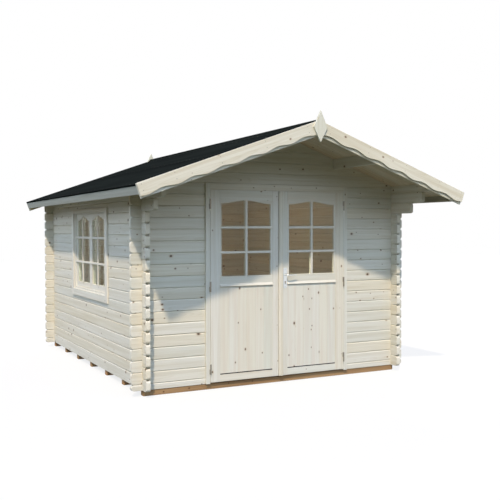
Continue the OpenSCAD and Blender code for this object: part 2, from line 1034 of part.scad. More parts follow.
floor_joists();
floor_boards();
left_wall_logs();
right_wall_logs();
back_wall_logs();
front_wall_left_logs();
front_wall_right_logs();
front_gable_logs();
back_gable_logs();
ridge_purlin();
side_purlins();
left_roof_boards();
right_roof_boards();
left_roof_felt();
right_roof_felt();
left_eave_board();
right_eave_board();
left_front_bargeboard();
right_front_bargeboard();
left_barge_backing();
right_barge_backing();
left_back_bargeboard();
right_back_bargeboard();
front_finial();
back_finial();
door_jambs();
door_head();
door_threshold();
left_hinge_pins();
right_hinge_pins();
window_frame();
window_casing();
window_sashes();
window_panes();
left_door_leaf();
left_door_panel();
left_door_pane();
left_hinge_sockets();
right_door_leaf();
right_door_panel();
right_door_pane();
right_hinge_sockets();
door_cover_strip();
door_lock_plate();
door_lever();
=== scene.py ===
"""Finishes the log cabin: planed spruce logs, boarded and felted roof, glazed double door,
double-sash side window, and the ironwork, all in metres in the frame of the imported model."""

import json
import logging
import math
from collections.abc import Callable, Iterable, Sequence
from dataclasses import dataclass, field, replace
from enum import Enum
from functools import partial

import bmesh
import bpy
from mathutils import Matrix, Vector

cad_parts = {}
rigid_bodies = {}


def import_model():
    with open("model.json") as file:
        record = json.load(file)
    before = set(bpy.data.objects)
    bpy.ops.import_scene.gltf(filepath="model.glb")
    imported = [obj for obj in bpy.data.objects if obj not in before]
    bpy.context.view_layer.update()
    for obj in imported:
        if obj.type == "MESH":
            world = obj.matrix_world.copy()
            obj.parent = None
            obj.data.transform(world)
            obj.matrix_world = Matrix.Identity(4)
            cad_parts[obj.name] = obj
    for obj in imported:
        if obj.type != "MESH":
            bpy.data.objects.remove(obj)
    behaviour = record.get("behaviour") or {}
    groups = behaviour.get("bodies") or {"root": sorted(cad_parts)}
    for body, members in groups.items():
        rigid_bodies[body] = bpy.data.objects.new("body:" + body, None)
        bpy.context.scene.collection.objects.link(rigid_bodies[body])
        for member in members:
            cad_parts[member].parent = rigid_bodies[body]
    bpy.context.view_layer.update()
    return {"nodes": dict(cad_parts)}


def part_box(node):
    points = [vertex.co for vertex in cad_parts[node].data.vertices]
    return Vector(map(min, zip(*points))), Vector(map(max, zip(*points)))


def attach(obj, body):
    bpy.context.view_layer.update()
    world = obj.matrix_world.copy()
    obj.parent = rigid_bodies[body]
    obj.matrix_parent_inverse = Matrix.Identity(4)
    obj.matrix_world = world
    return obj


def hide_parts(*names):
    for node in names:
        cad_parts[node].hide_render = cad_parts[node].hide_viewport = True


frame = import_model()

LOG = logging.getLogger("cabin")
MM = 0.001
GRAIN_MAP = "grain"
# Each board has a strip of its own in the grain map, this many metres from the next one
STRIP = 2.0
ROOF_PITCH = math.radians(19.5)
X, Y, Z = Vector((1, 0, 0)), Vector((0, 1, 0)), Vector((0, 0, 1))
WHITE = (1.0, 1.0, 1.0, 1.0)
# Corners closer than this are one corner
MERGE = 0.001 * MM
# Room between two pieces that touch in the real cabin
TOUCH = 0.2 * MM

Materials = Sequence[bpy.types.Material]
Box = tuple[Vector, Vector]
Outline = Sequence[tuple[float, float]]


class Side(Enum):
    """Side of the cabin, as seen from in front of the doors."""

    LEFT = "left"
    RIGHT = "right"

    @property
    def sign(self) -> int:
        """Gives the sign of X on this side."""
        return -1 if self is Side.LEFT else 1


def linear(code: str) -> tuple[float, float, float, float]:
    """Turns an sRGB hex colour into the linear colour that a shader takes.

    Args:
        code: the colour as #RRGGBB.

    Returns:
        Red, green and blue, linear, and an alpha of 1.
    """
    parts = [int(code[i : i + 2], 16) / 255 for i in (1, 3, 5)]
    red, green, blue = (p / 12.92 if p <= 0.04045 else ((p + 0.055) / 1.055) ** 2.4 for p in parts)
    return red, green, blue, 1.0


def add(
    tree: bpy.types.NodeTree, kind: str, inputs: dict | None = None,
    stops: Sequence[tuple[float, tuple]] = (), **settings: object,
) -> bpy.types.Node:
    """Adds a node to a tree with its settings, values and links.

    Args:
        tree: the shader or geometry tree.
        kind: the node's type, such as ShaderNodeMath.
        inputs: for a socket's name or number, a value, a socket to link, or a node to link by
            its first output.
        stops: place and colour of each stop of a colour ramp.
        settings: the node's own properties.

    Returns:
        The new node.
    """
    made = tree.nodes.new(kind)
    for key, value in settings.items():
        setattr(made, key, value)
    for key, value in (inputs or {}).items():
        if isinstance(value, bpy.types.Node):
            value = value.outputs[0]
        if isinstance(value, bpy.types.NodeSocket):
            tree.links.new(value, made.inputs[key])
        else:
            made.inputs[key].default_value = value
    for number, (place, colour) in enumerate(stops):
        ramp = made.color_ramp.elements
        stop = ramp[number] if number < len(ramp) else ramp.new(place)
        stop.position, stop.color = place, colour
    return made


def new_material(name: str) -> tuple[bpy.types.Material, Callable]:
    """Makes a material without nodes.

    Args:
        name: the material's name.

    Returns:
        The material, and the function that adds a node to it.
    """
    material = bpy.data.materials.new(name)
    material.use_nodes = True
    material.node_tree.nodes.clear()
    return material, partial(add, material.node_tree)


# ---- Finishes ----


@dataclass(frozen=True)
class TimberFinish:
    """Sawn and planed softwood, seen on its long faces and on its ends.

    The long faces show growth rings cut lengthwise, as arched and parallel lines, with a few
    knots; the ends show the rings themselves. Lengths are in millimetres.
    """

    name: str
    sapwood: str
    latewood: str
    cool: str
    warm: str
    knot: str
    knot_rim: str
    end_pale: str = "#F0EBDD"
    end_dark: str = "#E3DAC4"
    # Growth rings of northern spruce are 2 to 4 mm wide: drawn coarser, so that they show
    ring: float = 7.0
    ring_share: float = 0.34
    fibre_share: float = 0.3
    # Broad streaks along a board, from heartwood to sapwood
    streak: float = 34.0
    streak_share: float = 0.5
    streak_edges: tuple[float, float] = (0.35, 0.68)
    # Knots of 8 to 28 mm, most of them small, one cell of the pattern for each possible knot
    knot_cell: tuple[float, float] = (250.0, 88.0)
    knot_share: float = 0.36
    knot_radius: tuple[float, float] = (4.0, 14.0)
    rim_share: float = 0.55
    # A knot's height over its length, and the power of chance that makes most knots small
    knot_squash: float = 0.72
    knot_power: float = 2.2
    # The heart of the tree lies this deep behind a board's face, and this far off its middle
    heart_depth: tuple[float, float] = (4.0, 85.0)
    heart_side: float = 50.0
    # How far the rings swerve in the ripples of the grain, and round a knot
    ripple: float = 9.0
    knot_swerve: float = 8.0
    # Cycles in a metre: of the heart's wandering and of the streaks along the grain, and of
    # ripples and fibres along and across it
    wander: float = 0.55
    streaks: float = 0.9
    ripples: tuple[float, float] = (2.2, 24.0)
    fibres: tuple[float, float] = (5.0, 420.0)
    # On the ends, the heart lies this far off the middle and below it, and its rings are closer
    end_side: float = 30.0
    end_below: float = 40.0
    end_swerve: float = 4.0
    end_ring: float = 0.6
    end_ripples: float = 60.0
    # Roughness of the faces, how far the fibres take it down and up, and that of the ends
    roughness: float = 0.62
    rougher: tuple[float, float] = (-0.06, 0.08)
    end_roughness: float = 0.8
    # Strength and depth of the grain's relief, on the faces and on the ends
    bump: tuple[float, float] = (0.25, 0.25)
    end_bump: tuple[float, float] = (0.3, 0.3)

    def _board(self, node: Callable) -> tuple:
        """Reads the grain map.

        Args:
            node: the function that adds a node.

        Returns:
            The map's vector, the place along the grain, the place across the board from its
            middle, the board's number, and a random colour for that board.
        """
        grain = node("ShaderNodeUVMap", uv_map=GRAIN_MAP)
        parts = node("ShaderNodeSeparateXYZ", {0: grain})
        along, strips = parts.outputs[0], parts.outputs[1]
        halves = node("ShaderNodeMath", {0: strips, 1: 1 / STRIP, 2: 0.5}, operation="MULTIPLY_ADD")
        board = node("ShaderNodeMath", {0: halves}, operation="FLOOR")
        across = node("ShaderNodeMath", {0: board, 1: -STRIP, 2: strips}, operation="MULTIPLY_ADD")
        chance = node("ShaderNodeTexWhiteNoise", {"W": board}, noise_dimensions="1D")
        return grain, along, across, board, chance

    def _toned(
        self, node: Callable, colour: bpy.types.NodeSocket, chance: bpy.types.Node
    ) -> bpy.types.NodeSocket:
        """Shifts a colour from board to board, between a cool and a warm tone.

        Args:
            node: the function that adds a node.
            colour: the colour's socket.
            chance: the board's random node.

        Returns:
            The shifted colour's socket.
        """
        tones = [(0.0, linear(self.cool)), (0.5, WHITE), (1.0, linear(self.warm))]
        tone = node("ShaderNodeValToRGB", {0: chance.outputs["Value"]}, tones)
        both = {0: 1.0, 6: colour, 7: tone}
        return node("ShaderNodeMix", both, data_type="RGBA", blend_type="MULTIPLY").outputs[2]

    def _knots(
        self, node: Callable, grain: bpy.types.Node, chance: bpy.types.Node
    ) -> list[bpy.types.Node]:
        """Scatters knots over the boards, one at most in each cell of a pattern.

        Args:
            node: the function that adds a node.
            grain: the grain map's node.
            chance: the board's random node.

        Returns:
            The nodes that give 1 in a knot, and 1 in a knot and near it.
        """
        # The nearest point of the pattern, with the distance taken in true metres
        cell = Vector((self.knot_cell[0] * MM, self.knot_cell[1] * MM, 1))
        to_cells, to_metres = (1 / cell.x, 1 / cell.y, 0), (cell.x * self.knot_squash, cell.y, 0)
        cells = node("ShaderNodeVectorMath", {0: grain, 1: to_cells}, operation="MULTIPLY")
        spots = node(
            "ShaderNodeTexVoronoi", {"Vector": cells, "Scale": 1.0}, voronoi_dimensions="2D"
        )
        nearest = spots.outputs["Position"]
        offset = node("ShaderNodeVectorMath", {0: cells, 1: nearest}, operation="SUBTRACT")
        reach = node("ShaderNodeVectorMath", {0: offset, 1: to_metres}, operation="MULTIPLY")
        distance = node("ShaderNodeVectorMath", {0: reach}, operation="LENGTH").outputs["Value"]
        dice = node("ShaderNodeSeparateXYZ", {0: spots.outputs["Color"]})
        growth = node("ShaderNodeMath", {0: dice.outputs[0], 1: self.knot_power}, operation="POWER")
        least, most = self.knot_radius
        sizes = {"Value": growth, "To Min": least * MM, "To Max": most * MM}
        radius = node("ShaderNodeMapRange", sizes)
        # Some boards are nearly clear, others have twice the usual number
        luck = node("ShaderNodeSeparateXYZ", {0: chance.outputs["Color"]})
        odds = {"Value": luck.outputs[1], "To Min": 0.1, "To Max": 2.0 * self.knot_share}
        knotty = node("ShaderNodeMapRange", odds)
        present = node("ShaderNodeMath", {0: dice.outputs[1], 1: knotty}, operation="LESS_THAN")
        ratio = node("ShaderNodeMath", {0: distance, 1: radius}, operation="DIVIDE")
        found = []
        # In shares of the radius: where the knot and the bent grain round it begin and are full
        for outside, inside in ((1.0, 0.55), (1.9, 0.9)):
            edge = {"Value": ratio, "From Min": outside, "From Max": inside}
            shape = node("ShaderNodeMapRange", edge)
            found.append(node("ShaderNodeMath", {0: shape, 1: present}, operation="MULTIPLY"))
        return found

    def face(self) -> bpy.types.Material:
        """Makes the finish of the long faces.

        Returns:
            The material.
        """
        material, node = new_material(self.name)
        grain, along, across, board, chance = self._board(node)
        knot, halo = self._knots(node, grain, chance)

        def noise(cycles: tuple[float, float], detail: float) -> bpy.types.Node:
            """Adds a noise along and across the grain.

            Args:
                cycles: its cycles in a metre, along and across.
                detail: how many finer layers it has.

            Returns:
                The noise's node.
            """
            at = node("ShaderNodeVectorMath", {0: grain, 1: (*cycles, 0)}, operation="MULTIPLY")
            shape = {"Vector": at, "Scale": 1.0, "Detail": detail}
            return node("ShaderNodeTexNoise", shape, noise_dimensions="2D")

        ripple, fibre = noise(self.ripples, 2.0), noise(self.fibres, 3.0)
        streak = noise((self.streaks, 1 / (self.streak * MM)), 2.0)

        # Growth rings round a heart that wanders behind the board's face
        wander_at = node("ShaderNodeCombineXYZ", {0: along, 1: board})
        slow = {"Vector": wander_at, "Scale": self.wander, "Detail": 1.0}
        wander = node("ShaderNodeTexNoise", slow, noise_dimensions="2D")
        near, far = (depth * MM for depth in self.heart_depth)
        deep = {"Value": wander, "From Min": 0.25, "From Max": 0.75, "To Min": near, "To Max": far}
        depth = node("ShaderNodeMapRange", deep)
        reach, luck = self.heart_side * MM, chance.outputs["Value"]
        side = node("ShaderNodeMapRange", {"Value": luck, "To Min": -reach, "To Max": reach})
        off_heart = node("ShaderNodeMath", {0: across, 1: side}, operation="SUBTRACT")
        heart_at = node("ShaderNodeCombineXYZ", {0: off_heart, 1: depth})
        heart = node("ShaderNodeVectorMath", {0: heart_at}, operation="LENGTH").outputs["Value"]
        at = heart
        for push, way in ((ripple, self.ripple * MM), (halo, self.knot_swerve * MM)):
            at = node("ShaderNodeMath", {0: push, 1: way, 2: at}, operation="MULTIPLY_ADD")
        number = node("ShaderNodeMath", {0: at, 1: self.ring * MM}, operation="DIVIDE")
        saw = node("ShaderNodeMath", {0: number}, operation="FRACT")
        early, slope = (0.15, 0.15, 0.15, 1), (0.25, 0.25, 0.25, 1)
        shades = [(0.0, early), (0.55, slope), (0.86, WHITE), (1.0, early)]
        ring = node("ShaderNodeValToRGB", {0: saw}, shades)

        # Colour: pale wood, darker rings, warmer streaks, then the board's own tone and knots
        least, most = self.streak_edges
        streaks = node("ShaderNodeMapRange", {"Value": streak, "From Min": least, "From Max": most})
        rings = node("ShaderNodeMath", {0: ring, 1: self.ring_share}, operation="MULTIPLY")
        finer = {0: fibre, 1: self.fibre_share, 2: -self.fibre_share / 2}
        fibres = node("ShaderNodeMath", finer, operation="MULTIPLY_ADD")
        broad = node("ShaderNodeMath", {0: streaks, 1: self.streak_share}, operation="MULTIPLY")
        late = node("ShaderNodeMath", {0: rings, 1: fibres}, operation="ADD")
        share = node("ShaderNodeMath", {0: late, 1: broad}, operation="ADD", use_clamp=True)
        rim = node("ShaderNodeMath", {0: halo, 1: self.rim_share}, operation="MULTIPLY")
        colours = {0: share, 6: linear(self.sapwood), 7: linear(self.latewood)}
        wood = node("ShaderNodeMix", colours, data_type="RGBA")
        colour = self._toned(node, wood.outputs[2], chance)
        for part, code in ((rim, self.knot_rim), (knot, self.knot)):
            layer = {0: part, 6: colour, 7: linear(code)}
            colour = node("ShaderNodeMix", layer, data_type="RGBA").outputs[2]

        down, up = (self.roughness + change for change in self.rougher)
        rough = node("ShaderNodeMapRange", {"Value": fibre, "To Min": down, "To Max": up})
        height = node("ShaderNodeMath", {0: ring, 1: 0.5, 2: fibre}, operation="MULTIPLY_ADD")
        self._surface(node, colour, rough, self.bump, height)
        return material

    def _surface(
        self, node: Callable, colour: bpy.types.NodeSocket, rough: float | bpy.types.Node,
        bump: tuple[float, float], height: bpy.types.Node,
    ) -> None:
        """Ends a material in a shader with relief.

        Args:
            node: the function that adds a node.
            colour: the colour's socket.
            rough: the roughness, or the node that gives it.
            bump: the strength and depth of the relief.
            height: the node that gives the relief's height.
        """
        raised = {"Strength": bump[0], "Distance": bump[1] * MM, "Height": height}
        looks = {"Base Color": colour, "Roughness": rough, "Normal": node("ShaderNodeBump", raised)}
        shader = node("ShaderNodeBsdfPrincipled", looks)
        node("ShaderNodeOutputMaterial", {"Surface": shader})

    def end(self) -> bpy.types.Material:
        """Makes the finish of the sawn ends.

        Returns:
            The material.
        """
        material, node = new_material(f"{self.name}_end_grain")
        grain, along, across, _, chance = self._board(node)
        reach, luck = self.end_side * MM, chance.outputs["Value"]
        heart_x = node("ShaderNodeMapRange", {"Value": luck, "To Min": -reach, "To Max": reach})
        from_heart = node("ShaderNodeMath", {0: along, 1: heart_x}, operation="SUBTRACT")
        below = node("ShaderNodeMath", {0: across, 1: self.end_below * MM}, operation="ADD")
        at = node("ShaderNodeCombineXYZ", {0: from_heart, 1: below})
        heart = node("ShaderNodeVectorMath", {0: at}, operation="LENGTH").outputs["Value"]
        fine = {"Vector": grain, "Scale": self.end_ripples}
        ripple = node("ShaderNodeTexNoise", fine, noise_dimensions="2D")
        swerve = {0: ripple, 1: self.end_swerve * MM, 2: heart}
        bent = node("ShaderNodeMath", swerve, operation="MULTIPLY_ADD")
        width = self.end_ring * self.ring * MM
        number = node("ShaderNodeMath", {0: bent, 1: width}, operation="DIVIDE")
        saw = node("ShaderNodeMath", {0: number}, operation="FRACT")
        colours = {0: saw, 6: linear(self.end_pale), 7: linear(self.end_dark)}
        ends = node("ShaderNodeMix", colours, data_type="RGBA")
        colour = self._toned(node, ends.outputs[2], chance)
        self._surface(node, colour, self.end_roughness, self.end_bump, saw)
        return material


@dataclass(frozen=True)
class BitumenFelt:
    """Roofing felt: bitumen on a glass mat, pressed full of fine black slate grit, all dull."""

    name: str = "bitumen_felt"
    base: str = "#151817"
    worn: str = "#212522"
    # Grit of 0.5 to 1 mm, drawn at 3 mm so that it shows
    grit: float = 3.0
    # Cycles of the paler bands in a metre, across and along the roof
    bands: tuple[float, float, float] = (6, 0.5, 6)
    roughness: float = 0.93
    relief: float = 0.6 * MM

    def build(self) -> bpy.types.Material:
        """Makes the finish.

        Returns:
            The material.
        """
        material, node = new_material(self.name)
        place = node("ShaderNodeTexCoord").outputs["Object"]
        grains = {"Vector": place, "Scale": 1 / (self.grit * MM), "Detail": 2.0}
        grit = node("ShaderNodeTexNoise", grains)
        bands_at = node("ShaderNodeVectorMath", {0: place, 1: self.bands}, operation="MULTIPLY")
        bands = node("ShaderNodeTexNoise", {"Vector": bands_at, "Scale": 1.0, "Detail": 4.0})
        both = node("ShaderNodeMath", {0: grit, 1: 0.5}, operation="MULTIPLY")
        share = node("ShaderNodeMath", {0: bands, 1: 0.5, 2: both}, operation="MULTIPLY_ADD")
        tones = [(0.36, linear(self.base)), (0.66, linear(self.worn))]
        colour = node("ShaderNodeValToRGB", {0: share}, tones)
        relief = node("ShaderNodeBump", {"Strength": 0.5, "Distance": self.relief, "Height": grit})
        # The loose grit leaves no sheen, not even along the roof
        looks = {"Base Color": colour, "Roughness": self.roughness, "Specular IOR Level": 0.0}
        shader = node("ShaderNodeBsdfPrincipled", {**looks, "Normal": relief})
        node("ShaderNodeOutputMaterial", {"Surface": shader})
        return material


@dataclass(frozen=True)
class FloatGlass:
    """Clear 4 mm float glass, which lets lamps through to the room behind it."""

    name: str = "float_glass"
    tint: str = "#F4FAF6"
    # Glass has 1.5: matched lower, so that the pale studio mirrored in it does not hide the room
    ior: float = 1.33
    # Share of the pane that lets all light pass and mirrors none
    plain_share: float = 0.0

    def build(self) -> bpy.types.Material:
        """Makes the finish.

        Returns:
            The material.
        """
        material, node = new_material(self.name)
        looks = {"Base Color": linear(self.tint), "Roughness": 0.0, "IOR": self.ior}
        shader = node("ShaderNodeBsdfPrincipled", {**looks, "Transmission Weight": 1.0})
        clear = node("ShaderNodeBsdfTransparent", {"Color": linear(self.tint)})
        shadow = node("ShaderNodeLightPath").outputs["Is Shadow Ray"]
        share = node("ShaderNodeMath", {0: shadow, 1: self.plain_share}, operation="MAXIMUM")
        both = node("ShaderNodeMixShader", {0: share, 1: shader, 2: clear})
        node("ShaderNodeOutputMaterial", {"Surface": both})
        return material


@dataclass(frozen=True)
class Metal:
    """A metal with a fine drawn or cast surface; its spots are dull patches in the coating."""

    name: str
    base: str
    roughness: float
    # Size of the dull patches in millimetres
    patch: float = 12.0
    patch_share: float = 0.12

    def build(self) -> bpy.types.Material:
        """Makes the finish.

        Returns:
            The material.
        """
        material, node = new_material(self.name)
        place = node("ShaderNodeTexCoord").outputs["Object"]
        spots = {"Vector": place, "Scale": 1 / (self.patch * MM), "Detail": 3.0}
        patches = node("ShaderNodeTexNoise", spots)
        least, most = self.roughness - self.patch_share, self.roughness + self.patch_share
        rough = node("ShaderNodeMapRange", {"Value": patches, "To Min": least, "To Max": most})
        looks = {"Base Color": linear(self.base), "Metallic": 1.0, "Roughness": rough}
        shader = node("ShaderNodeBsdfPrincipled", looks)
        node("ShaderNodeOutputMaterial", {"Surface": shader})
        return material


# Planed, untreated northern spruce: pale cream, matt, with quiet rings and small dark knots
PLANED_SPRUCE = TimberFinish(
    name="planed_spruce", sapwood="#E3DFD2", latewood="#CFC7B2", cool="#F5F7F6", warm="#FEFAF1",
    knot="#5B4937", knot_rim="#B59A78",
)
# The same spruce in the small sections of doors and windows, picked with fewer knots
JOINERY_SPRUCE = TimberFinish(
    name="joinery_spruce", sapwood="#E5E1D5", latewood="#D5CCB9", cool="#F8FAF8", warm="#FEFBF4",
    knot="#6B5946", knot_rim="#BFA582", ring=8.0, ring_share=0.22, streak=26.0, knot_share=0.2,
    knot_radius=(3.0, 9.0),
)
# The same spruce in the wide boards of the roof's edges: creamier, with its grain in long lines
TRIM_SPRUCE = replace(
    JOINERY_SPRUCE, name="trim_spruce", sapwood="#E6E2D3", latewood="#D0C7AE", cool="#F7FAF5",
    warm="#FFFCF4", ring=12.0, ring_share=0.3, streak=38.0, streak_share=0.6, knot_share=0.24,
    knot_radius=(3.0, 10.0),
)
# The eave boards: the trim spruce painted greyer and darker as painted shade under the eaves, and
# rougher
SHADED_EAVE_SPRUCE = replace(
    TRIM_SPRUCE, name="eave_spruce_painted_shade", sapwood="#C3C2B9", latewood="#B0AD9F", roughness=0.85
)
# The tongued boards of the door panels: glued from strips, in broad cream and pinkish streaks
PANEL_SPRUCE = TimberFinish(
    name="panel_spruce", sapwood="#E3E0D3", latewood="#DACFBF", cool="#F8FBF8", warm="#FEFBF4",
    knot="#5F4E3E", knot_rim="#B9A083", ring=16.0, ring_share=0.16, streak=46.0, streak_share=0.55,
    knot_cell=(210.0, 100.0), knot_share=0.4, knot_radius=(6.0, 12.0),
)
# Roof and floor boards of a lower grade: yellower, with more and larger knots
DECKING_SPRUCE = TimberFinish(
    name="decking_spruce", sapwood="#DCD3BE", latewood="#C3B190", cool="#F2F4EF", warm="#FFF6EC",
    knot="#5E4935", knot_rim="#A98C66", end_pale="#E2D3B4", end_dark="#CDB58C", knot_share=0.34,
    knot_radius=(4.0, 13.0),
)
# Pressure-treated pine for ground contact: honey brown with darker rings
TREATED_PINE = TimberFinish(
    name="treated_pine", sapwood="#C29A6E", latewood="#95704A", cool="#ECEFEA", warm="#FFF3EA",
    knot="#4E3420", knot_rim="#7A552F", end_pale="#BC9464", end_dark="#8F6A41", ring_share=0.5,
    streak_share=0.7, roughness=0.75,
)
# Hinges, key cylinder and screws, zinc-plated: warm grey, half dull, in soft patches
ZINCED_STEEL = Metal(name="zinced_steel", base="#9A958A", roughness=0.55)
# Lock plate and lever, anodised and satin: pale silver with an even, soft gleam
SATIN_ALUMINIUM = Metal(name="satin_aluminium", base="#DCE0E1", roughness=0.3, patch_share=0.04)
# Clout nails near black, half dull; the same near-black metal is painted shade in the key slot and in
# the panel grooves
DARK_IRON = Metal(name="dark_iron", base="#3A3837", roughness=0.55)


class Finishes:
    """Builds each finish once and hands it out by its slot in the record."""

    def __init__(self) -> None:
        """Builds the materials."""
        self.timber: dict[str, tuple[bpy.types.Material, bpy.types.Material]] = {}
        for slots, finish in (
            (("wall_log",), PLANED_SPRUCE),
            (("joinery",), JOINERY_SPRUCE),
            (("roof_trim",), TRIM_SPRUCE),
            (("eave_trim",), SHADED_EAVE_SPRUCE),
            (("door_board",), PANEL_SPRUCE),
            (("roof_board", "floor_board"), DECKING_SPRUCE),
            (("treated_joist",), TREATED_PINE),
        ):
            pair = (finish.face(), finish.end())
            for slot in slots:
                self.timber[slot] = pair
        self.felt = BitumenFelt().build()
        self.glass = FloatGlass().build()
        self.window_glass = FloatGlass(name="window_float_glass", ior=1.08, plain_share=0.5).build()
        self.steel = ZINCED_STEEL.build()
        self.satin = SATIN_ALUMINIUM.build()
        self.dark = DARK_IRON.build()


# ---- Timber ----


def islands(mesh: bmesh.types.BMesh) -> list[list[bmesh.types.BMFace]]:
    """Finds the separate solids of a mesh.

    Args:
        mesh: the mesh, with its faces joined at shared edges.

    Returns:
        The faces of each solid, in the order of the solids' middles from low to high.
    """
    found, seen = [], set()
    for first in mesh.faces:
        if first in seen:
            continue
        seen.add(first)
        group, todo = [], [first]
        while todo:
            face = todo.pop()
            group.append(face)
            for near in (f for e in face.edges for f in e.link_faces if f not in seen):
                seen.add(near)
                todo.append(near)
        found.append(group)
    return sorted(found, key=lambda group: tuple(round(c, 3) for c in middle(group).zyx))


def corners(group: Iterable[bmesh.types.BMFace]) -> Box:
    """Gives the lowest and highest corner of some faces."""
    points = [v.co for face in group for v in face.verts]
    return tuple(Vector(pick(p[i] for p in points) for i in range(3)) for pick in (min, max))


def middle(group: Iterable[bmesh.types.BMFace]) -> Vector:
    """Gives the middle of the box round some faces."""
    low, high = corners(group)
    return (low + high) / 2


def ease_edges(mesh: bmesh.types.BMesh, width: float) -> None:
    """Planes a small flat along every sharp edge, as a sander leaves it.

    Args:
        mesh: the mesh, changed in place.
        width: the width of the flat from the edge, in metres.
    """
    least = math.radians(25)
    sharp = [e for e in mesh.edges if e.is_manifold and e.calc_face_angle(0) > least]
    bmesh.ops.bevel(mesh, geom=sharp, offset=width, segments=1, affect="EDGES", clamp_overlap=True)


def cut_boxes(mesh: bmesh.types.BMesh, boxes: Sequence[Box]) -> None:
    """Cuts boxes out of some solids.

    Args:
        mesh: the solids, changed in place.
        boxes: the lowest and highest corner of each box.
    """
    cutter = bmesh.new()
    for low, high in boxes:
        place = Matrix.Translation((low + high) / 2) @ Matrix.Diagonal(high - low).to_4x4()
        bmesh.ops.create_cube(cutter, size=1.0, matrix=place)
    pair = []
    for name, shape in (("solids", mesh), ("boxes", cutter)):
        data = bpy.data.meshes.new(name)
        shape.to_mesh(data)
        pair.append(bpy.data.objects.new(name, data))
        bpy.context.scene.collection.objects.link(pair[-1])
    cutter.free()
    cut = pair[0].modifiers.new("cut", "BOOLEAN")
    cut.operation, cut.solver, cut.object = "DIFFERENCE", "EXACT", pair[1]
    made = plain_mesh(pair[0])
    mesh.clear()
    mesh.from_mesh(made)
    bmesh.ops.remove_doubles(mesh, verts=mesh.verts, dist=MERGE)
    bpy.data.meshes.remove(made)
    for item in pair:
        data = item.data
        bpy.data.objects.remove(item)
        bpy.data.meshes.remove(data)


def plain_mesh(item: bpy.types.Object) -> bpy.types.Mesh:
    """Gives an object's shape with its modifiers or curve turned into a plain mesh."""
    ready = item.evaluated_get(bpy.context.evaluated_depsgraph_get())
    return bpy.data.meshes.new_from_object(ready)


